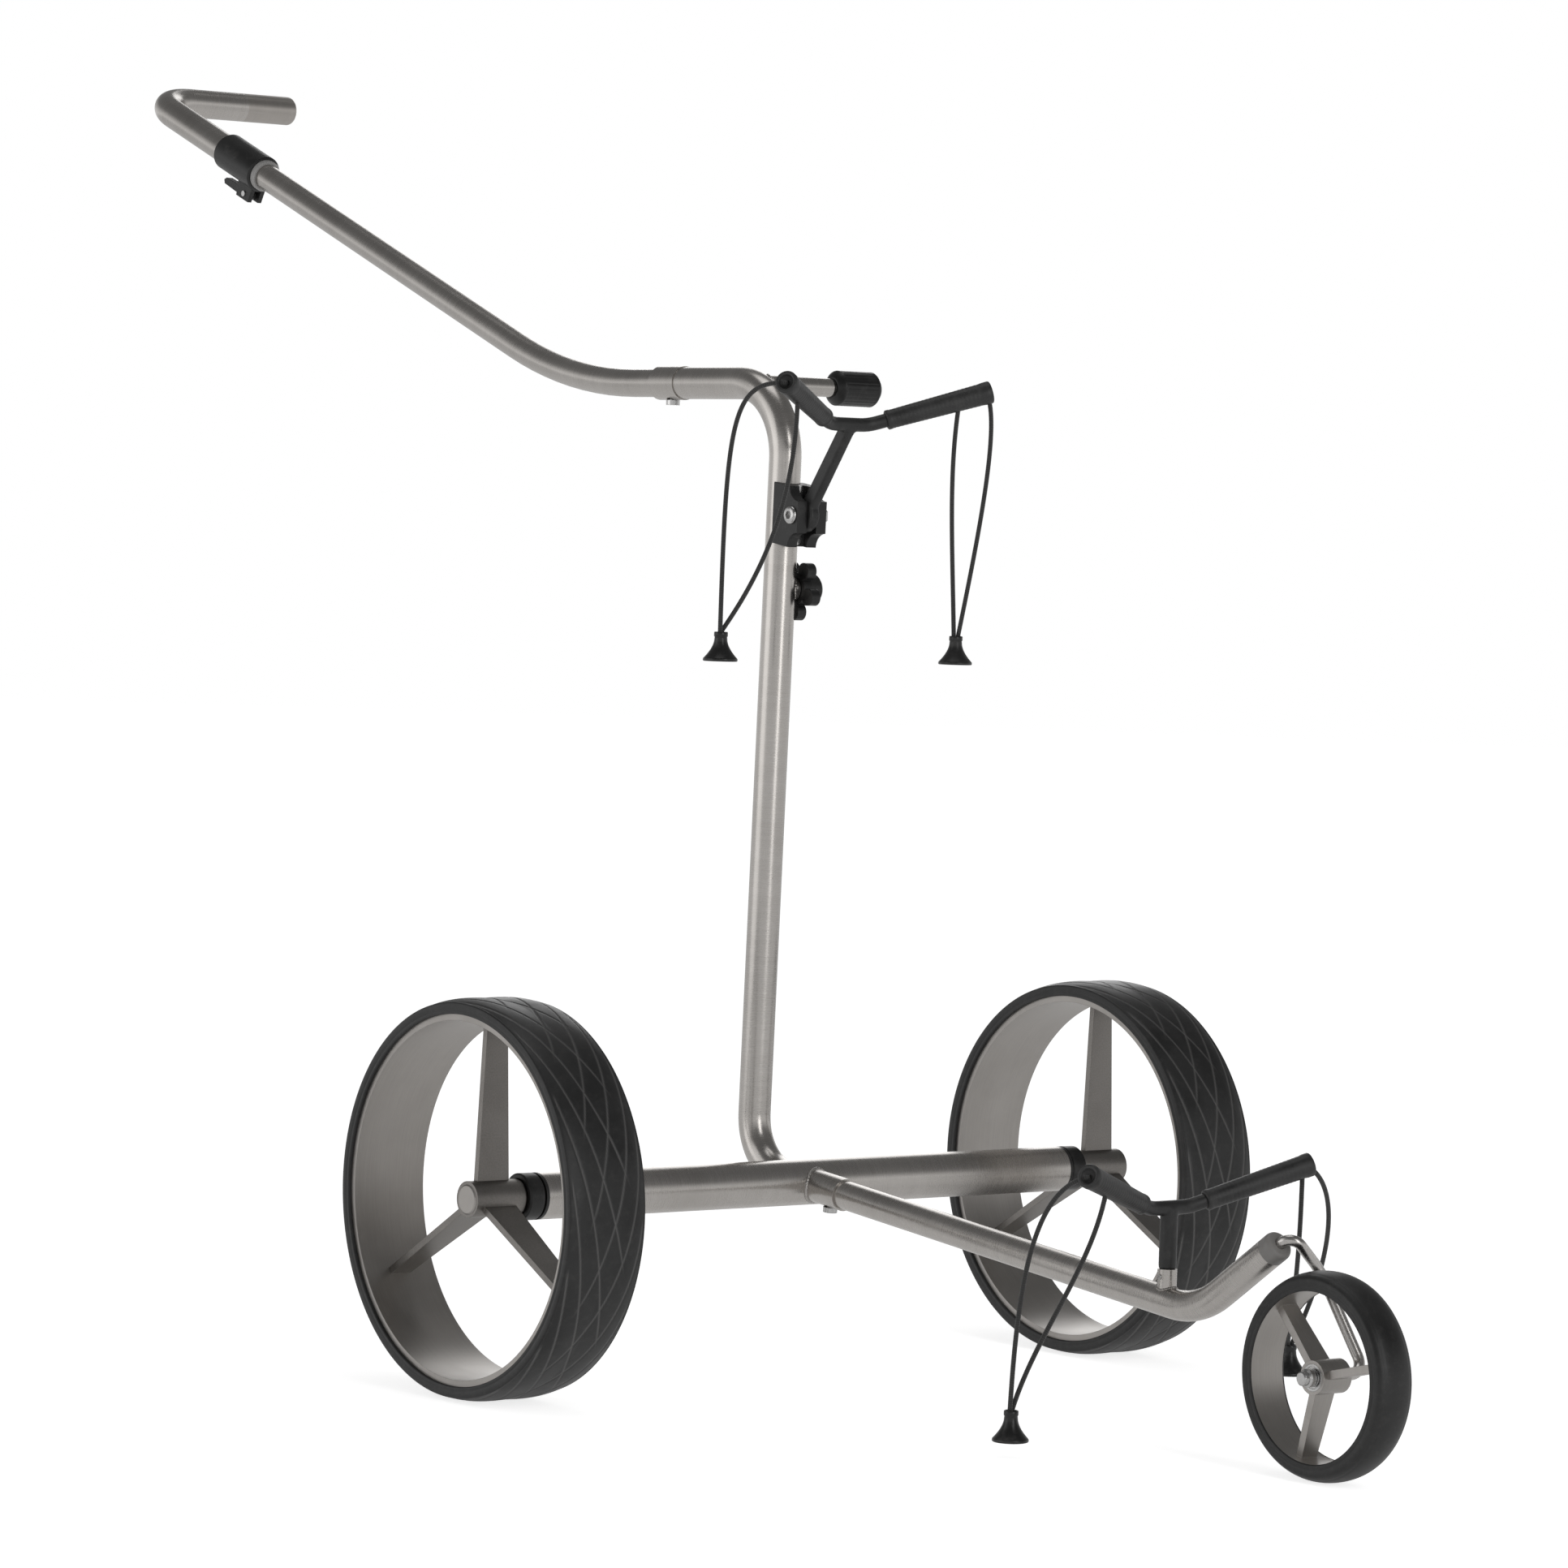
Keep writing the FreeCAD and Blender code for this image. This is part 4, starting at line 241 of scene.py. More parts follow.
def satin_metal(name, light, dark, shine, grain):
    """Blasted or turned metal with a fine grain."""
    graph = Graph(name)
    place = graph.place()
    fine = graph.noise(graph.stretch(place, grain), 1.0, 3.0, 0.6)
    cloud = graph.noise(place, 24.0, 3.0)
    share = graph.span(graph.sum(graph.times(fine, 0.5), graph.times(cloud, 0.5)), 0.38, 0.62, 0.0, 1.0)
    colour = graph.blend(share, dark, light)
    rough = graph.sum(graph.span(fine, 0.3, 0.7, shine - 0.05, shine + 0.05),
                      graph.span(cloud, 0.35, 0.65, -0.03, 0.03))
    normal = graph.bump(fine, 0.12, 0.0001, graph.eased_edges(0.0006))
    return graph.finish({"Base Color": colour, "Metallic": 1.0, "Roughness": rough, "Normal": normal})


def moulded(name, light, dark, shine, pitch, depth, edge):
    """Moulded plastic, rubber or powder coat: a fine pebbled skin with soft edges."""
    graph = Graph(name)
    place = graph.place()
    pebble = graph.cells(place, pitch)
    fine = graph.noise(place, pitch * 1.7, 2.0)
    cloud = graph.noise(place, 28.0, 3.0)
    dust = graph.span(graph.noise(place, 90.0, 4.0, 0.65), 0.52, 0.72, 0.0, 1.0)
    colour = graph.blend(graph.span(cloud, 0.35, 0.65, 0.0, 1.0), dark, light)
    colour = graph.blend(graph.times(dust, 0.18), colour, grey(0.12, 0.03))
    rough = graph.sum(graph.span(cloud, 0.35, 0.65, shine - 0.04, shine + 0.04), graph.times(dust, 0.10))
    normal = graph.bump(graph.sum(graph.times(pebble, 0.6), graph.times(fine, 0.4)), 0.35, depth,
                        graph.eased_edges(edge))
    return graph.finish({"Base Color": colour, "Roughness": rough, "Normal": normal,
                         "Specular IOR Level": 0.45})


def rolled_rubber(name, light, dark, shine):
    """Tyre rubber: the stored tread value lightens the colour along the cut lines as a painted highlight,
    and dust sits on the tread.
    """
    graph = Graph(name)
    place = graph.place()
    line = graph.stored_value("tread")
    fine = graph.noise(place, 1400.0, 2.0)
    cloud = graph.noise(place, 22.0, 4.0, 0.6)
    dust = graph.span(graph.noise(place, 160.0, 4.0, 0.7), 0.5, 0.75, 0.0, 1.0)
    colour = graph.blend(graph.span(cloud, 0.35, 0.65, 0.0, 1.0), dark, light)
    colour = graph.blend(graph.times(dust, 0.14), colour, grey(0.10, 0.05))
    # painted highlight: the colour is lightened along the tread's cut lines
    colour = graph.blend(graph.times(line, 0.85), colour, grey(0.13, 0.02))
    rough = graph.sum(graph.span(cloud, 0.35, 0.65, shine - 0.05, shine + 0.05), graph.times(line, 0.1))
    normal = graph.bump(fine, 0.25, 0.00012)
    return graph.finish({"Base Color": colour, "Roughness": rough, "Normal": normal,
                         "Specular IOR Level": 0.4})


def braided_cord(name):
    """Elastic cord with a braided cover: two sets of strands crossing, with painted shade in the hollows
    between them.
    """
    graph = Graph(name)
    twist = graph.stored("braid")
    parts = graph.add("ShaderNodeSeparateXYZ", {0: twist})
    turn, along = parts.outputs[0], parts.outputs[1]
    one = graph.sine(graph.sum(graph.times(turn, 8.0), graph.times(along, 1900.0)))
    other = graph.sine(graph.sum(graph.times(turn, 8.0), graph.times(along, -1900.0)))
    weave = graph.times(one, other)
    # painted shade: the colour follows the weave's bump height, darker in the hollows between strands
    tone = graph.span(weave, -1.0, 1.0, 0.0, 1.0)
    colour = graph.blend(tone, grey(0.010), grey(0.045, 0.02))
    normal = graph.bump(weave, 0.6, 0.0002)
    return graph.finish({"Base Color": colour, "Roughness": 0.75, "Normal": normal, "Sheen Weight": 0.25})


steel = ground_steel("ground_steel", grey(0.52, 0.045), grey(0.40, 0.055), 0.27)
steel_end = ground_steel("ground_steel_end", grey(0.44, 0.06), grey(0.34, 0.07), 0.34)
bright = satin_metal("bright_steel", grey(0.58, 0.01), grey(0.48, 0.01), 0.24, (900.0, 900.0, 900.0))
rod_metal = satin_metal("fork_rod", grey(0.55, 0.03), grey(0.44, 0.04), 0.26, (700.0, 700.0, 700.0))
rim_metal = satin_metal("rim_metal", grey(0.40, 0.05), grey(0.33, 0.055), 0.40, (2600.0, 26.0, 26.0))
spoke_metal = satin_metal("spoke_metal", grey(0.27, 0.055), grey(0.20, 0.06), 0.44, (800.0, 800.0, 800.0))
weld_metal = satin_metal("weld_metal", grey(0.46, 0.04), grey(0.30, 0.06), 0.36, (600.0, 600.0, 600.0))
plastic = moulded("black_plastic", grey(0.014), grey(0.008), 0.40, 1500.0, 0.00010, 0.0007)
knob_plastic = moulded("knob_plastic", grey(0.012), grey(0.006), 0.38, 900.0, 0.00018, 0.0008)
cap_plastic = moulded("cap_plastic", grey(0.24, 0.04), grey(0.17, 0.04), 0.38, 1600.0, 0.00006, 0.0008)
ring_plastic = moulded("ring_plastic", grey(0.36, 0.02), grey(0.28, 0.02), 0.35, 1600.0, 0.00005, 0.0005)
coat = moulded("powder_coat", grey(0.020), grey(0.011), 0.42, 700.0, 0.00016, 0.0009)
sleeve_rubber = moulded("sleeve_rubber", grey(0.034), grey(0.016), 0.46, 480.0, 0.00030, 0.0007)
cone_plastic = moulded("cone_plastic", grey(0.014), grey(0.008), 0.34, 1500.0, 0.00006, 0.0005)
tyre_rubber = rolled_rubber("tyre_rubber", grey(0.022), grey(0.010), 0.44)
cord_cover = braided_cord("braided_cord")


def clothe(node, material):
    """Give a carried-over node its material."""
    slots = nodes[node].data.materials
    slots.clear()
    slots.append(material)


# ---------------------------------------------------------------- centre lines of the tubes

def rounded_path(corners, bends, step=0.0015):
    """Dense points along straight runs and the arcs between them."""
    corners = [np.asarray(corner, float) for corner in corners]
    points = [corners[0]]
    for before, corner, after, bend in zip(corners, corners[1:], corners[2:], bends):
        back, ahead = unit(before - corner), unit(after - corner)
        half = math.acos(np.clip(-back @ ahead, -1.0, 1.0)) / 2
        reach = bend * math.tan(half)
        centre = corner + unit(back + ahead) * bend / math.cos(half)
        start, end = corner + back * reach - centre, corner + ahead * reach - centre
        count = max(8, int(bend * half * 2 / step))
        for number in range(count + 1):
            share = number / count
            arc = (start * math.sin((1 - share) * half * 2) + end * math.sin(share * half * 2))
            points.append(centre + arc / math.sin(half * 2))
    points.append(corners[-1])
    dense = [points[0]]
    for first, second in zip(points, points[1:]):
        count = max(1, int(np.linalg.norm(second - first) / step))
        dense.extend(first + (second - first) * number / count for number in range(1, count + 1))
    return np.array(dense)


def path_tangents(path):
    """Unit direction at each point of a path."""
    steps = np.gradient(path, axis=0)
    return steps / np.linalg.norm(steps, axis=1)[:, None]


def lay_along(node, path, square):
    """Store how a tube lies along its centre line: two offsets across, and the length along."""
    mesh = nodes[node].data
    points = np.zeros(len(mesh.vertices) * 3)
    mesh.vertices.foreach_get("co", points)
    points = points.reshape(-1, 3)
    tangents = path_tangents(path)
    lengths = np.concatenate(([0.0], np.cumsum(np.linalg.norm(np.diff(path, axis=0), axis=1))))
    nearest = np.array([np.argmin(((path - point) ** 2).sum(axis=1)) for point in points])
    offset = points - path[nearest]
    direction = tangents[nearest]
    beyond = (offset * direction).sum(axis=1)
    offset = offset - direction * beyond[:, None]
    square = np.asarray(square, float)
    across = np.cross(square, direction)
    lay = np.stack(((offset * across).sum(axis=1), offset @ square, lengths[nearest] + beyond), axis=1)
    layer = mesh.attributes.new("lay", "FLOAT_VECTOR", "POINT")
    layer.data.foreach_set("vector", lay.astype(np.float32).ravel())


boom_axis = joint_axis("boom_plug")
riser_axis = joint_axis("fork_trim")
mast_axis = joint_axis("mast_height")
handle_axis = joint_axis("grip_swivel")
elbow = joint_point("fork_trim")
mast_point = joint_point("mast_knob_turn")
grip_corner = joint_point("grip_swivel")
handle_level = joint_point("handle_screw_turn")
axle_middle = box_middle("axle_tube")[0]

mast_foot = meeting(axle_middle, -boom_axis, mast_point, mast_axis)
mast_top = meeting(mast_point, mast_axis, handle_level, Y_AXIS)
handle_bend = meeting(handle_level, Y_AXIS, grip_corner, -handle_axis)

spine_path = rounded_path([axle_middle + boom_axis * 0.06, mast_foot, mast_point + mast_axis * 0.05],
                          [SPINE_BEND])
upper_path = rounded_path([mast_point - mast_axis * 0.02, mast_top, handle_level + Y_AXIS * 0.03],
                          [MAST_BEND])
boom_path = rounded_path([axle_middle - boom_axis * 0.03, elbow, elbow + riser_axis * 0.11], [BOOM_BEND])
handle_path = rounded_path([handle_level - Y_AXIS * 0.08, handle_bend, grip_corner - handle_axis * 0.08],
                           [HANDLE_BEND])
grip_path = rounded_path([grip_corner - handle_axis * 0.2, grip_corner, grip_corner + X_AXIS * 0.18],
                         [GRIP_BEND])
axle_path = rounded_path([axle_middle - X_AXIS * 0.25, axle_middle + X_AXIS * 0.25], [])
stub_middle = joint_point("stub_knob_turn")
stub_path = rounded_path([stub_middle - X_AXIS * 0.1, stub_middle + X_AXIS * 0.02], [])
clamp_path = rounded_path([mast_point - X_AXIS * 0.03, mast_point + X_AXIS * 0.03], [])
boss_middle = box_middle("lower_bracket_boss")[0]
boss_path = rounded_path([boss_middle - Z_AXIS * 0.03, boss_middle + Z_AXIS * 0.03], [])

for node, path, square in (
        ("lower_mast", spine_path, X_AXIS), ("upper_mast", upper_path, X_AXIS),
        ("front_tube", boom_path, X_AXIS), ("handle_tube", handle_path, X_AXIS),
        ("handle_sleeve", handle_path, X_AXIS), ("mast_spigot", upper_path, X_AXIS),
        ("axle_tube", axle_path, Z_AXIS), ("accessory_stub", stub_path, Z_AXIS),
        ("mast_clamp_boss", clamp_path, Z_AXIS), ("lower_bracket_boss", boss_path, X_AXIS),
        ("grip_tube", grip_path, np.cross(handle_axis, X_AXIS)),
        ("grip_end_cap", grip_path, np.cross(handle_axis, X_AXIS))):
    lay_along(node, path, square)
    clothe(node, steel)
clothe("grip_end_cap", steel_end)


# ---------------------------------------------------------------- finishes of the other carried-over nodes

for side in ("left", "right"):
    clothe(side + "_rim", rim_metal)
    clothe(side + "_hub_and_spokes", spoke_metal)
    clothe(side + "_hub_bearings", bright)
    clothe(side + "_hub_cap", rim_metal)
    clothe(side + "_stub_axle", bright)
    clothe(side + "_axle_bush", plastic)
    clothe(side + "_release_ring", knob_plastic)
for node in ("boom_lock_screw", "handle_lock_screw", "front_axle_nut", "front_bearings", "mast_clamp_stud",
             "saddle_screws", "hinge_bolt", "hinge_nut", "lower_bracket_screw", "clamp_lever_pin"):
    clothe(node, bright)
clothe("front_fork", rod_metal)
clothe("front_tube_cap", cap_plastic)
clothe("front_wheel_centre", rim_metal)
clothe("mast_clamp_knob", knob_plastic)
clothe("upper_saddle", plastic)
clothe("upper_bracket", coat)
clothe("lower_bracket", coat)
clothe("grip_clamp_collar", plastic)
clothe("grip_clamp_ring", ring_plastic)
clothe("grip_clamp_lever", plastic)


CASTING_VOXEL = 0.8 * MM
FILLET_PASSES = 36


def round_inner_corners(node):
    """Give a cast bracket the soft fillets of a casting where its rods meet."""
    even = nodes[node].modifiers.new("even_mesh", "REMESH")
    even.mode = "VOXEL"
    even.voxel_size = CASTING_VOXEL
    even.use_smooth_shade = True
    fillets = nodes[node].modifiers.new("fillets", "SMOOTH")
    fillets.factor = 0.5
    fillets.iterations = FILLET_PASSES


round_inner_corners("upper_bracket")
round_inner_corners("lower_bracket")


# ---------------------------------------------------------------- building new meshes

def new_piece(name, points, faces, material, body, stands_for=()):
    """A smooth mesh that rides on a body and may stand for frame nodes."""
    mesh = bpy.data.meshes.new(name)
    mesh.from_pydata([tuple(point) for point in points], [], faces)
    mesh.validate()
    mesh.update()
    mesh.shade_smooth()
    mesh.materials.append(material)
    piece = bpy.data.objects.new(name, mesh)
    bpy.context.scene.collection.objects.link(piece)
    if body is not None:
        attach(piece, body)
    if stands_for:
        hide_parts(*stands_for)
    return piece


def grid_faces(rows, columns, wrap_rows=False):
    """Quads over a grid that wraps around its columns."""
    faces = []
    for row in range(rows if wrap_rows else rows - 1):
        following = (row + 1) % rows
        for column in range(columns):
            after = (column + 1) % columns
            faces.append((row * columns + column, row * columns + after,
                          following * columns + after, following * columns + column))
    return faces


def turned_grid(origin, axis, profile, sides):
    """Points of a profile of (radius, distance along) turned about an axis."""
    first, second = side_frame(axis)
    angles = np.linspace(0.0, 2 * math.pi, sides, endpoint=False)
    ring = np.cos(angles)[:, None] * first + np.sin(angles)[:, None] * second
    return np.concatenate([origin + axis * along + ring * radius for radius, along in profile])


def store_value(piece, name, values):
    """Store a number per point."""
    layer = piece.data.attributes.new(name, "FLOAT", "POINT")
    layer.data.foreach_set("value", np.asarray(values, np.float32))


def store_vector(piece, name, values):
    """Store a vector per point."""
    layer = piece.data.attributes.new(name, "FLOAT_VECTOR", "POINT")
    layer.data.foreach_set("vector", np.asarray(values, np.float32).ravel())


# ---------------------------------------------------------------- tyres

def wheel_grid(middle, radii, along, sides):
    """Points of a ring about a wheel's axle, from radii and places along the axle."""
    angles = np.linspace(0.0, 2 * math.pi, sides, endpoint=False)
    y = middle[1] + radii * np.cos(angles)
    z = middle[2] + radii * np.sin(angles)
    x = middle[0] + np.broadcast_to(along, y.shape)
    return np.stack((x, y, z), axis=2).reshape(-1, 3)


def columns(profile):
    """The radii and the places along the axle of a profile, as columns."""
    radii, along = np.array(profile).T
    return radii[:, None], along[:, None]


TREAD_ARCS = 14
ARC_TURN = math.radians(82.0)
ARC_START = 31.0 * MM
ARC_TRAVEL = 50.0 * MM
LINE_HALF = 0.62 * MM
GROOVE_DEPTH = 0.6 * MM
TYRE_SIDES = 1080
TREAD_ROWS = 75
SHOULDER_FALL = 2.6 * MM
REAR_LIP_DEPTH = 11.5 * MM
TREAD_INSET = 1.3 * MM
CROWN_DIP = 0.48 * MM

FRONT_TYRE_SIDES = 360
FRONT_ROWS = 41
FRONT_SHOULDER_FALL = 6.5 * MM
FRONT_LIP_DEPTH = 13.5 * MM
FRONT_ROUNDNESS = 0.985
FRONT_NOTCH = 0.3 * MM


def tread_line(angles, across):
    """How close each tread point is to the sweeping arcs: 1 on a line, 0 away from it."""
    best = np.zeros(np.broadcast(angles, across).shape)
    pitch = 2 * math.pi / TREAD_ARCS
    for hand in (-1.0, 1.0):
        shift = 0.0 if hand > 0 else pitch * 0.5
        for number in range(TREAD_ARCS):
            progress = np.mod(angles - shift - number * pitch, 2 * math.pi) / ARC_TURN
            inside = progress <= 1.0
            line = hand * (ARC_START - ARC_TRAVEL * progress ** 1.5)
            gap = np.abs(across - line) / LINE_HALF
            fade = smooth_step(progress / 0.06) * smooth_step((1.0 - progress) / 0.12)
            value = np.exp(-gap ** 2) * fade
            best = np.maximum(best, np.where(inside, value, 0.0))
    return best


def make_rear_tyre(side):
    """A rear tyre: lipped sides, a soft double crown and crossing cut lines."""
    node = side + "_tyre"
    middle, half = box_middle(node)
    crown, width = half[2], half[0]
    shoulder = crown - SHOULDER_FALL
    lip = crown - REAR_LIP_DEPTH
    flank = [(lip, -width + 2.5 * MM), (lip, -width + 0.4 * MM), (lip + 0.7 * MM, -width),
             (lip + 2.2 * MM, -width), (lip + 2.8 * MM, -width + 0.35 * MM),
             (lip + 3.4 * MM, -width), (shoulder - 1.4 * MM, -width),
             (shoulder - 0.4 * MM, -width + 0.5 * MM)]
    tread = []
    for place in np.linspace(-1.0, 1.0, TREAD_ROWS):
        fall = SHOULDER_FALL * abs(place) ** 4 + CROWN_DIP * (1 - abs(math.sin(math.pi * place)))
        tread.append((crown - fall, place * (width - TREAD_INSET)))
    profile = flank + tread + [(radius, -along) for radius, along in reversed(flank)]
    radii, along = columns(profile)
    on_tread = np.zeros(radii.shape)
    on_tread[len(flank):len(flank) + TREAD_ROWS] = 1.0
    angles = np.linspace(0.0, 2 * math.pi, TYRE_SIDES, endpoint=False)
    line = tread_line(angles[None, :], along) * on_tread
    grooved = radii - GROOVE_DEPTH * line
    grooved = grooved * (crown / grooved.max())
    points = wheel_grid(middle, grooved, along, TYRE_SIDES)
    piece = new_piece(side + "_tyre_treaded", points, grid_faces(len(profile), TYRE_SIDES), tyre_rubber,
                      side + "_wheel", (node,))
    # the stored tread value also paints a highlight along the cut lines in the tyre material
    store_value(piece, "tread", line.ravel())


for side in ("left", "right"):
    make_rear_tyre(side)


def make_front_tyre():
    """The small front tyre: round crown, moulded shoulder lines and side lips."""
    middle, half = box_middle("front_tyre")
    crown, width = half[2], half[0]
    lip = crown - FRONT_LIP_DEPTH
    flank = [(lip, -width + 1.0 * MM), (lip + 0.2 * MM, -width + 0.2 * MM), (lip + 1.2 * MM, -width),
             (lip + 3.0 * MM, -width), (lip + 3.6 * MM, -width + 0.35 * MM), (lip + 4.2 * MM, -width)]
    tread = []
    for place in np.linspace(-1.0, 1.0, FRONT_ROWS):
        fall = FRONT_SHOULDER_FALL * (1.0 - math.sqrt(1.0 - (place * FRONT_ROUNDNESS) ** 2))
        notch = FRONT_NOTCH * math.exp(-((abs(place) - 0.72) / 0.03) ** 2)
        tread.append((crown - fall - notch, place * width))
    profile = flank + tread + [(radius, -along) for radius, along in reversed(flank)]
    points = wheel_grid(middle, *columns(profile), FRONT_TYRE_SIDES)
    piece = new_piece("front_tyre_moulded", points, grid_faces(len(profile), FRONT_TYRE_SIDES), tyre_rubber,
                      "front_wheel", ("front_tyre",))
    store_value(piece, "tread", np.zeros(len(points)))


make_front_tyre()


# ---------------------------------------------------------------- arms' sleeves, cords and cones

CORD_RADIUS = 1.75 * MM
CORD_SIDES = 16
STRAND_POINTS = 170
KNOT_DEPTH = 9 * MM
KNOT_BEND = 1.7 * MM
CONE_SIDES = 72

ARM_HALF = 18.0 * MM
UPPER_ARM_ROOT = np.array((0.0, -50.0, 69.6)) * MM
LOWER_ARM_BACK = 32.2 * MM
LOWER_ARM_RISE = 30.3 * MM
SLEEVE_SETBACK = 12 * MM
SLEEVE_ROOT = 7.2 * MM
SLEEVE_TIP = 8.5 * MM
SLEEVE_BORE = 5.6 * MM
SLEEVE_SIDES = 64
ROLL_PITCH = 0.8 * MM


def sleeve_line(level, sign):
    """An arm's tip, and where its sleeve starts, its direction and its length."""
    tip = joint_point("{}_{}_tie_swing".format(level, "left" if sign < 0 else "right"))
    if level == "upper":
        middle = joint_point("bag_bracket_fold") + UPPER_ARM_ROOT
    else:
        middle = np.array((0.0, tip[1] + LOWER_ARM_BACK, tip[2] - LOWER_ARM_RISE))
    root = middle + X_AXIS * ARM_HALF * sign
    ahead = unit(tip - root)
    start = root + ahead * (SLEEVE_SETBACK / abs(ahead[0]))
    return tip, start, ahead, np.linalg.norm(tip - start)


def make_sleeves(level, body):
    """Two tapered rubber sleeves: a lip at the start, fine rolled rings, a hollow end for the cord."""
    parts, faces, count = [], [], 0
    for sign in (-1, 1):
        _, start, ahead, length = sleeve_line(level, sign)
        profile = [(SLEEVE_BORE, 0.0), (SLEEVE_ROOT - 0.6 * MM, 0.0), (SLEEVE_ROOT + 0.3 * MM, 0.7 * MM),
                   (SLEEVE_ROOT + 0.3 * MM, 3.2 * MM), (SLEEVE_ROOT, 4.0 * MM)]
        for number in range(int((length - 12 * MM) / ROLL_PITCH)):
            along = 5.0 * MM + number * ROLL_PITCH
            radius = SLEEVE_ROOT + (SLEEVE_TIP - SLEEVE_ROOT) * along / length
            profile.append((radius - 0.05 * MM + 0.07 * MM * math.cos(number * math.pi / 2), along))
        profile += [(SLEEVE_TIP + 0.2 * MM, length - 5.4 * MM), (SLEEVE_TIP + 0.2 * MM, length - 1.4 * MM),
                    (SLEEVE_TIP - 0.3 * MM, length - 0.4 * MM), (SLEEVE_TIP - 1.2 * MM, length),
                    (SLEEVE_TIP - 2.4 * MM, length), (SLEEVE_TIP - 3.0 * MM, length - 0.8 * MM),
                    (SLEEVE_TIP - 3.4 * MM, length - 3.2 * MM), (2.4 * MM, length - 3.6 * MM),
                    (1.9 * MM, length - 4.6 * MM)]
        points = turned_grid(start, ahead, profile, SLEEVE_SIDES)
        parts.append(points)
        faces += [tuple(index + count for index in face)
                  for face in grid_faces(len(profile), SLEEVE_SIDES)]
        count += len(points)
        faces.append(tuple(range(count - SLEEVE_SIDES, count)))
    new_piece(level + "_arm_sleeves_ribbed", np.concatenate(parts), faces, sleeve_rubber, body,
              (level + "_arm_sleeves",))


def bezier(start, first, second, end, count):
    """Points of a smooth curve."""
    share = np.linspace(0.0, 1.0, count)[:, None]
    rest = 1.0 - share
    return (rest ** 3 * start + 3 * rest ** 2 * share * first + 3 * rest * share ** 2 * second
            + share ** 3 * end)


def tube_along(path, radius, sides):
    """Points and turning values of a round cord along a path, without twist."""
    tangents = path_tangents(path)
    normal = side_frame(tangents[0])[0]
    angles = np.linspace(0.0, 2 * math.pi, sides, endpoint=False)
    lengths = np.concatenate(([0.0], np.cumsum(np.linalg.norm(np.diff(path, axis=0), axis=1))))
    points, braid = [], []
    for centre, tangent, length in zip(path, tangents, lengths):
        normal = unit(normal - tangent * (normal @ tangent))
        other = np.cross(tangent, normal)
        for angle in angles:
            points.append(centre + (normal * math.cos(angle) + other * math.sin(angle)) * radius)
            braid.append((angle, length, 0.0))
    return np.array(points), np.array(braid)


def hanging_strand(start, entry, outward, bends):
    """A strand from a sleeve to a cone.

    The bends are, for each end: the share of the way across already made, the share of the
    fall, and the bow outwards in millimetres.
    """
    across = entry - start
    fall = abs(across[2])
    across = across * np.array((1.0, 1.0, 0.0))
    (first_across, first_fall, first_bow), (last_across, last_fall, last_bow) = bends
    first = start + across * first_across - Z_AXIS * fall * first_fall + outward * first_bow * MM
    last = entry - across * last_across + Z_AXIS * fall * last_fall + outward * last_bow * MM
    return bezier(start, first, last, entry, STRAND_POINTS)


def make_tie(level, side, inboard, inner_bends, outer_bends):
    """One elastic tie: two strands from the sleeve down to the cone, and the cone with the knot inside."""
    sign = -1 if side == "left" else 1
    name = "{}_{}".format(level, side)
    tie = name + "_tie"
    tip, _, ahead, _ = sleeve_line(level, sign)
    low, high = (np.array(corner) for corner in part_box(name + "_cone"))
    top = np.array(((low[0] + high[0]) / 2, (low[1] + high[1]) / 2, high[2]))
    down = -Z_AXIS
    under = unit(down + ahead * ahead[2])
    outward = unit(np.array((ahead[0], ahead[1], 0.0)))
    inner_start = tip - ahead * inboard + under * 6.0 * MM
    apart = outward * CORD_RADIUS * 1.02
    inner_entry = top - apart + Z_AXIS * 1 * MM
    outer_entry = top + apart + Z_AXIS * 1 * MM
    inner = hanging_strand(inner_start, inner_entry, outward, inner_bends)
    outer = hanging_strand(tip - ahead * 4.0 * MM, outer_entry, outward, outer_bends)
    knot = rounded_path([inner_entry, inner_entry + down * KNOT_DEPTH, outer_entry + down * KNOT_DEPTH,
                         outer_entry], [KNOT_BEND, KNOT_BEND], 0.8 * MM)
    path = np.concatenate((inner, knot[1:-1], outer[::-1]))
    points, braid = tube_along(path, CORD_RADIUS, CORD_SIDES)
    faces = grid_faces(len(path), CORD_SIDES)
    faces.append(tuple(range(CORD_SIDES - 1, -1, -1)))
    faces.append(tuple(range(len(points) - CORD_SIDES, len(points))))
    cord = new_piece(name + "_cord_braided", points, faces, cord_cover, None,
                     (name + "_cord",))
    store_vector(cord, "braid", braid)
    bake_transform(cord)

    tall = high[2] - low[2]
    foot = (high[0] - low[0]) / 2
    profile = [(3.7 * MM, -11.0 * MM), (3.7 * MM, -0.8 * MM), (4.0 * MM, 0.0), (4.8 * MM, 0.0),
               (5.2 * MM, -0.6 * MM), (5.2 * MM, -3.2 * MM), (4.7 * MM, -3.9 * MM), (4.9 * MM, -5.5 * MM)]
    for step in range(1, 15):
        share = step / 14
        profile.append((4.9 * MM + (foot - 5.6 * MM) * share ** 1.75, -5.5 * MM - (tall - 8.2 * MM) * share))
    profile += [(foot - 0.2 * MM, -tall + 2.2 * MM), (foot, -tall + 1.6 * MM), (foot, -tall + 0.5 * MM),
                (foot - 0.6 * MM, -tall), (foot - 1.4 * MM, -tall), (foot - 2.0 * MM, -tall + 0.6 * MM),
                (foot - 5.0 * MM, -tall + 5.0 * MM), (4.2 * MM, -11.5 * MM), (3.7 * MM, -11.0 * MM)]
    points = turned_grid(top, Z_AXIS, profile, CONE_SIDES)
    new_piece(name + "_cone_turned", points, grid_faces(len(profile), CONE_SIDES), cone_plastic, tie,
              (name + "_cone",))


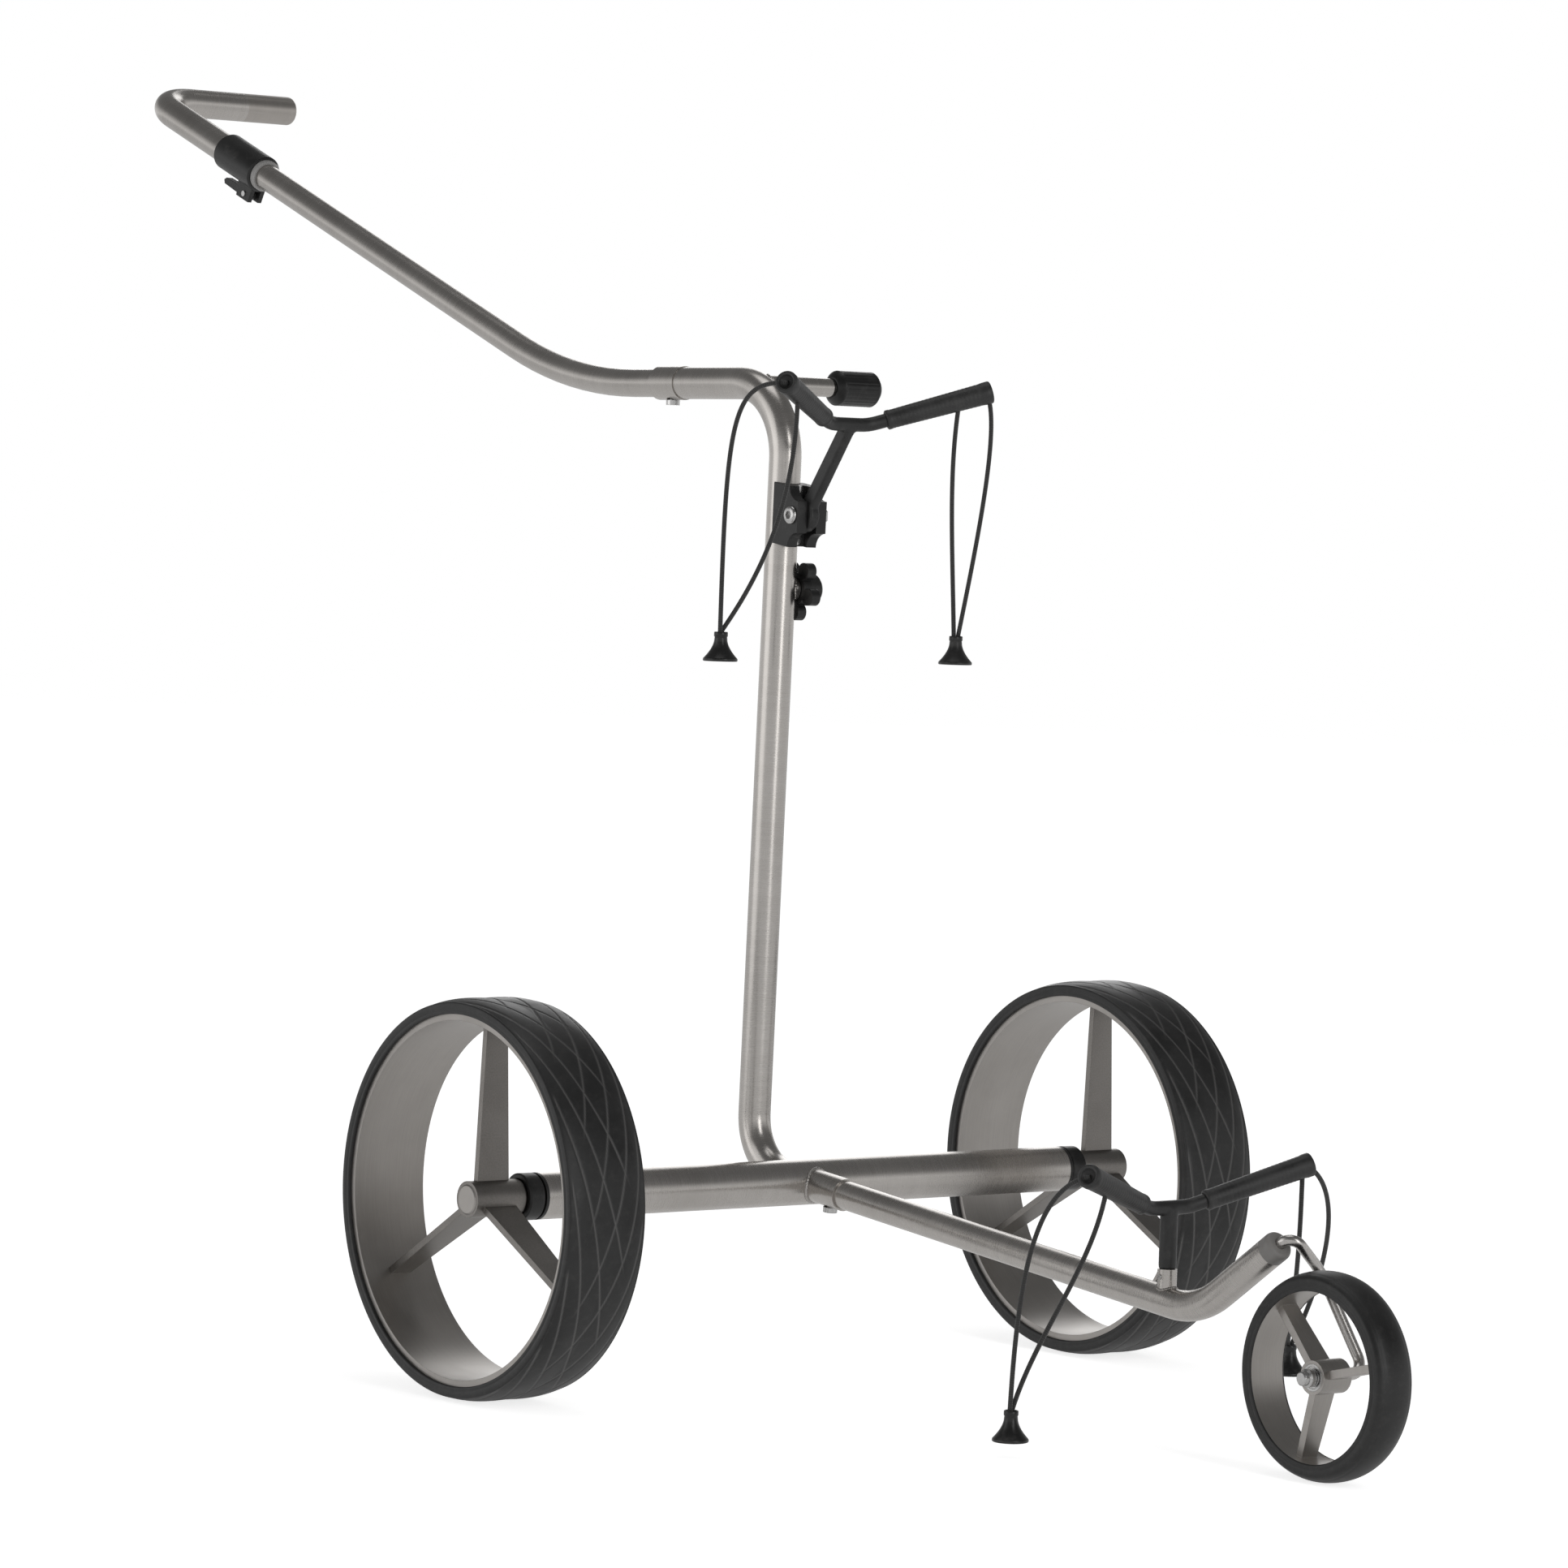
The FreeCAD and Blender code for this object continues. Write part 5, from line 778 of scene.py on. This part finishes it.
make_sleeves("upper", "bag_bracket")
make_sleeves("lower", "boom")
make_tie("upper", "left", 28 * MM, ((0.0, 0.45, 0), (0.55, 0.25, 0)),
         ((0.85, -0.01, 10), (0.0, 0.85, 0)))
make_tie("upper", "right", 28 * MM, ((0.1, 0.30, -6), (0.1, 0.40, -3)),
         ((0.0, 0.12, 13), (0.45, 0.35, 4)))
make_tie("lower", "left", 30 * MM, ((0.15, 0.35, 0), (0.25, 0.35, 0)),
         ((0.75, 0.05, 2), (0.1, 0.55, 5)))
make_tie("lower", "right", 9 * MM, ((0.0, 0.50, 0), (0.5, 0.25, 0)),
         ((0.0, 0.10, 28), (0.0, 0.45, 30)))


# ---------------------------------------------------------------- accessory knob with its flutes

KNOB_BEVEL = 5.0 * MM
KNOB_BORE = 5.1 * MM
KNOB_SIDES = 288
FLUTES = 24
FLUTE_DEPTH = 0.3 * MM
RING_DEPTH = 0.12 * MM
RING_PITCH = 1.6 * MM


def make_accessory_knob():
    """The barrel knob: bevelled ends, shallow flutes along its grip and a recessed end face."""
    low, high = (np.array(corner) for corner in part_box("accessory_knob"))
    middle = (low + high) / 2
    radius, length = (high[2] - low[2]) / 2, high[0] - low[0]
    bevel = KNOB_BEVEL
    profile = [(KNOB_BORE, 8 * MM), (KNOB_BORE, 0.6 * MM), (5.8 * MM, 0.0),
               (radius - bevel - 0.4 * MM, 0.0), (radius - bevel + 0.5 * MM, 0.4 * MM),
               (radius - 0.5 * MM, bevel - 0.6 * MM), (radius, bevel + 0.3 * MM)]
    for share in np.linspace(0.0, 1.0, 30):
        profile.append((radius, bevel + 0.8 * MM + (length - 2 * bevel - 1.6 * MM) * share))
    profile += [(radius, length - bevel - 0.3 * MM), (radius - 0.5 * MM, length - bevel + 0.6 * MM),
                (radius - bevel + 0.5 * MM, length - 0.4 * MM), (radius - bevel - 0.4 * MM, length),
                (radius - bevel - 1.2 * MM, length), (radius - bevel - 1.8 * MM, length - 0.6 * MM),
                (1.0 * MM, length - 0.8 * MM)]
    points = turned_grid(np.array((low[0], middle[1], middle[2])), X_AXIS, profile, KNOB_SIDES)
    along = points[:, 0] - low[0]
    centred = points - np.array((0.0, middle[1], middle[2]))
    angles = np.arctan2(centred[:, 2], centred[:, 1])
    flute = np.clip(np.cos(angles * FLUTES) - 0.2, 0.0, 1.0) * FLUTE_DEPTH
    inset = bevel + 0.4 * MM
    fade = smooth_step((along - inset) / (2 * MM)) * smooth_step((length - inset - along) / (2 * MM))
    rings = RING_DEPTH * np.cos(along / RING_PITCH * 2 * math.pi) * fade
    distance = np.hypot(centred[:, 1], centred[:, 2])
    outside = distance > radius - 0.2 * MM
    factor = np.where(outside, (distance - flute * fade - np.abs(rings)) / distance, 1.0)
    points[:, 1] = middle[1] + centred[:, 1] * factor
    points[:, 2] = middle[2] + centred[:, 2] * factor
    faces = grid_faces(len(profile), KNOB_SIDES)
    faces.append(tuple(range(len(points) - KNOB_SIDES, len(points))))
    new_piece("accessory_knob_fluted", points, faces, knob_plastic, "stub_knob",
              ("accessory_knob",))


make_accessory_knob()


# ---------------------------------------------------------------- bolt head with its hexagon socket

BOLT_HEAD = 7.0 * MM
BOLT_SHANK = 4.0 * MM
BOLT_SIDES = 72
SOCKET_HALF = 2.8 * MM
SOCKET_DEPTH = 2.4 * MM


def make_socket_bolt():
    """The hinge bolt: a rounded head with a hexagon socket, and its shank."""
    low, high = (np.array(corner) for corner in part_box("hinge_bolt"))
    centre = joint_point("bag_bracket_fold")
    origin = np.array((low[0], centre[1], centre[2]))
    head, length, sides = BOLT_HEAD, high[0] - low[0], BOLT_SIDES
    profile = [(BOLT_SHANK, length), (BOLT_SHANK, 3.2 * MM), (4.3 * MM, 3.0 * MM),
               (head - 0.2 * MM, 3.0 * MM), (head, 2.7 * MM), (head, 1.9 * MM),
               (head - 0.6 * MM, 0.9 * MM), (head - 1.8 * MM, 0.2 * MM), (BOLT_SHANK, 0.0)]
    points = list(turned_grid(origin, X_AXIS, profile, sides))
    faces = grid_faces(len(profile), sides)
    faces.append(tuple(range(sides - 1, -1, -1)))
    first, second = side_frame(X_AXIS)
    rim = (len(profile) - 1) * sides
    rings = []
    for depth, reach in ((0.0, SOCKET_HALF + 0.2 * MM), (0.4 * MM, SOCKET_HALF),
                         (SOCKET_DEPTH, SOCKET_HALF)):
        start = len(points)
        for number in range(sides):
            angle = 2 * math.pi * number / sides
            local = (angle + math.pi / 6) % (math.pi / 3) - math.pi / 6
            radius = reach / math.cos(local)
            points.append(origin + X_AXIS * depth
                          + (first * math.cos(angle) + second * math.sin(angle)) * radius)
        rings.append(start)
    for upper, lower in zip([rim] + rings, rings):
        for number in range(sides):
            after = (number + 1) % sides
            faces.append((upper + number, upper + after, lower + after, lower + number))
    faces.append(tuple(range(rings[-1], rings[-1] + sides)))
    piece = new_piece("hinge_bolt_socket_head", points, faces, bright, "mast",
                      ("hinge_bolt",))
    piece.data.set_sharp_from_angle(angle=math.radians(40))


make_socket_bolt()


# ---------------------------------------------------------------- weld beads

def path_distance(path, point):
    """The distance from a point to a path."""
    return math.sqrt(((path - point) ** 2).sum(axis=1).min())


def joint_curve(origin, axis, radius, path, target, reach, count=120):
    """The closed line where a cylinder about an axis meets a tube of a given radius along a path."""
    first, second = side_frame(axis)
    curve = []
    for number in range(count):
        angle = 2 * math.pi * number / count
        start = origin + (first * math.cos(angle) + second * math.sin(angle)) * radius
        near, far = 0.0, reach
        for _ in range(22):
            middle = (near + far) / 2
            if path_distance(path, start + axis * middle) < target:
                near = middle
            else:
                far = middle
        curve.append(start + axis * near)
    return np.array(curve)


def make_bead(name, curve, radius, body, ripples):
    """A weld bead along a closed line, with the small ripples of its pools."""
    count, sides = len(curve), 10
    tangents = np.roll(curve, -1, axis=0) - np.roll(curve, 1, axis=0)
    middle = curve.mean(axis=0)
    points = []
    for number, (centre, tangent) in enumerate(zip(curve, tangents)):
        tangent = unit(tangent)
        outward = centre - middle
        outward = unit(outward - tangent * (outward @ tangent))
        other = np.cross(tangent, outward)
        phase = number * ripples / count
        size = radius * (1.0 + 0.16 * math.cos(2 * math.pi * phase))
        for side in range(sides):
            angle = 2 * math.pi * side / sides
            points.append(centre + (outward * math.cos(angle) + other * math.sin(angle)) * size)
    new_piece(name, points, grid_faces(count, sides, wrap_rows=True), weld_metal, body)


CLAMP_BOSS_RADIUS = 9.0 * MM
STUB_RADIUS = 7.25 * MM
BRACKET_BOSS_RADIUS = 7.0 * MM
FAR_REACH = 50 * MM
NEAR_REACH = 20 * MM

for name, ahead in (("weld_axle_front", boom_axis), ("weld_axle_rear", -boom_axis)):
    curve = joint_curve(axle_middle, ahead, TUBE_RADIUS, axle_path, AXLE_RADIUS, FAR_REACH)
    make_bead(name, curve, 1.5 * MM, "frame", 34)
make_bead("weld_clamp_boss",
          joint_curve(mast_point, X_AXIS, CLAMP_BOSS_RADIUS, spine_path, TUBE_RADIUS, NEAR_REACH),
          1.1 * MM, "frame", 26)
stub_foot = stub_middle - X_AXIS * stub_middle[0]
make_bead("weld_accessory_stub",
          joint_curve(stub_foot, X_AXIS, STUB_RADIUS, upper_path, TUBE_RADIUS, NEAR_REACH),
          1.1 * MM, "mast", 26)
boss_foot = meeting(boss_middle, Z_AXIS, elbow, boom_axis)
make_bead("weld_bracket_boss",
          joint_curve(boss_foot, Z_AXIS, BRACKET_BOSS_RADIUS, boom_path, PLUG_RADIUS, NEAR_REACH),
          1.0 * MM, "boom", 24)


# ---------------------------------------------------------------- floor, light and camera

CAMERA_PLACE = Vector((-2.8826, -3.6139, 0.6403))
CAMERA_RIGHT = Vector((0.785619, -0.617914, 0.031384))
CAMERA_UP = Vector((0.000714, 0.051631, 0.998666))
CAMERA_FORWARD = Vector((0.618710, 0.784549, -0.041004))
LENS = 139.62
SENSOR = 36.0


def make_camera():
    """The camera on the trolley's front left, a little above axle height."""
    data = bpy.data.cameras.new("camera")
    data.sensor_width = SENSOR
    data.lens = LENS
    data.clip_end = 100.0
    camera = bpy.data.objects.new("camera", data)
    back = -CAMERA_FORWARD
    camera.matrix_world = Matrix((
        (CAMERA_RIGHT.x, CAMERA_UP.x, back.x, CAMERA_PLACE.x),
        (CAMERA_RIGHT.y, CAMERA_UP.y, back.y, CAMERA_PLACE.y),
        (CAMERA_RIGHT.z, CAMERA_UP.z, back.z, CAMERA_PLACE.z),
        (0.0, 0.0, 0.0, 1.0),
    ))
    bpy.context.scene.collection.objects.link(camera)
    bpy.context.scene.camera = camera


FLOOR_MIDDLE = (0.0, 0.2, 0.0)
FLOOR_DROP = 0.5 * MM
FLOOR_RADIUS = 16.0


def make_floor():
    """A wide pale floor that fades into the background."""
    sides, rings = 96, 24
    points, faces = [(FLOOR_MIDDLE[0], FLOOR_MIDDLE[1], -FLOOR_DROP)], []
    for ring in range(1, rings + 1):
        radius = FLOOR_RADIUS * (ring / rings) ** 2
        for number in range(sides):
            angle = 2 * math.pi * number / sides
            points.append((FLOOR_MIDDLE[0] + radius * math.cos(angle),
                           FLOOR_MIDDLE[1] + radius * math.sin(angle), -FLOOR_DROP))
    for number in range(sides):
        faces.append((0, 1 + number, 1 + (number + 1) % sides))
    for ring in range(rings - 1):
        for number in range(sides):
            after = (number + 1) % sides
            base, outer = 1 + ring * sides, 1 + (ring + 1) * sides
            faces.append((base + number, outer + number, outer + after, base + after))
    mesh = bpy.data.meshes.new("floor")
    mesh.from_pydata(points, [], faces)
    graph = Graph("pale_floor")
    place = graph.place()
    far = graph.add("ShaderNodeVectorMath", {0: place, 1: FLOOR_MIDDLE},
                    operation="DISTANCE").outputs["Value"]
    share = graph.span(far, 0.9, 3.0, 0.0, 1.0)
    tone = graph.span(graph.noise(place, 6.0, 3.0), 0.3, 0.7, 0.0, 1.0)
    seen = graph.add("ShaderNodeLightPath").outputs["Is Camera Ray"]
    matt = graph.add("ShaderNodeBsdfDiffuse", {"Color": graph.blend(tone, grey(0.80), grey(0.83)),
                                               "Roughness": 0.6})
    lift = graph.add("ShaderNodeEmission",
                     {"Color": grey(1.0), "Strength": graph.span(seen, 0, 1, 0.36, 0.74)})
    near = graph.add("ShaderNodeAddShader", {0: matt.outputs[0], 1: lift.outputs[0]})
    glow = graph.add("ShaderNodeEmission",
                     {"Color": grey(1.0), "Strength": graph.span(seen, 0, 1, 0.6, 1.05)})
    mixed = graph.add("ShaderNodeMixShader", {0: share, 1: near.outputs[0], 2: glow.outputs[0]})
    graph.add("ShaderNodeOutputMaterial", {"Surface": mixed.outputs[0]})
    mesh.materials.append(graph.material)
    floor = bpy.data.objects.new("floor", mesh)
    bpy.context.scene.collection.objects.link(floor)


# brightness of the studio that reflections see: from straight down over the horizon to straight up
STUDIO_DOWN = 0.30
STUDIO_HORIZON = 0.95
STUDIO_STOPS = ((0.36, 0.34), (0.60, 0.60), (0.70, 0.20), (1.0, 0.14))


def make_world():
    """A white background; reflections see a grey studio with a bright band at the horizon."""
    world = bpy.data.worlds.new("studio")
    bpy.context.scene.world = world
    world.use_nodes = True
    tree = world.node_tree
    tree.nodes.clear()
    output = tree.nodes.new("ShaderNodeOutputWorld")
    path = tree.nodes.new("ShaderNodeLightPath")
    white = tree.nodes.new("ShaderNodeBackground")
    white.inputs["Color"].default_value = grey(1.0)
    room = tree.nodes.new("ShaderNodeBackground")
    place = tree.nodes.new("ShaderNodeTexCoord")
    parts = tree.nodes.new("ShaderNodeSeparateXYZ")
    ramp = tree.nodes.new("ShaderNodeValToRGB")
    shift = tree.nodes.new("ShaderNodeMapRange")
    shift.inputs["From Min"].default_value = -1.0
    tree.links.new(place.outputs["Generated"], parts.inputs[0])
    tree.links.new(parts.outputs["Z"], shift.inputs["Value"])
    tree.links.new(shift.outputs["Result"], ramp.inputs["Fac"])
    stops = ramp.color_ramp.elements
    stops[0].position = 0.0
    stops[0].color = grey(STUDIO_DOWN)
    stops[1].position = 0.50
    stops[1].color = grey(STUDIO_HORIZON)
    for position, level in STUDIO_STOPS:
        stop = stops.new(position)
        stop.color = grey(level)
    tree.links.new(ramp.outputs["Color"], room.inputs["Color"])
    room.inputs["Strength"].default_value = 1.0
    mix = tree.nodes.new("ShaderNodeMixShader")
    tree.links.new(path.outputs["Is Camera Ray"], mix.inputs[0])
    tree.links.new(room.outputs[0], mix.inputs[1])
    tree.links.new(white.outputs[0], mix.inputs[2])
    tree.links.new(mix.outputs[0], output.inputs["Surface"])


def soft_light(name, place, target, width, height, power):
    """A rectangular softbox aimed at a point."""
    data = bpy.data.lights.new(name, "AREA")
    data.shape = "RECTANGLE"
    data.size = width
    data.size_y = height
    data.energy = power
    light = bpy.data.objects.new(name, data)
    light.location = place
    light.visible_camera = False
    light.rotation_mode = "QUATERNION"
    light.rotation_quaternion = (Vector(target) - Vector(place)).to_track_quat("-Z", "Y")
    bpy.context.scene.collection.objects.link(light)


def around(azimuth, distance, height):
    """A place around the trolley; azimuth 0 is in front of the front wheel, seen along +Y."""
    turn = math.radians(azimuth)
    return (math.sin(turn) * distance, -math.cos(turn) * distance, height)


make_camera()
make_floor()
make_world()
AIM = (0.0, 0.1, 0.5)
soft_light("key", around(-3.0, 3.2, 1.3), AIM, 0.8, 2.4, 17.0)
soft_light("side", around(-112.0, 3.0, 1.2), AIM, 2.2, 2.4, 14.0)
soft_light("rear", around(140.0, 3.2, 1.5), AIM, 1.2, 2.0, 12.0)
soft_light("top", (0.2, 0.4, 3.6), AIM, 1.8, 1.8, 12.0)

scene = bpy.context.scene
scene.view_settings.view_transform = "Standard"
scene.view_settings.look = "None"
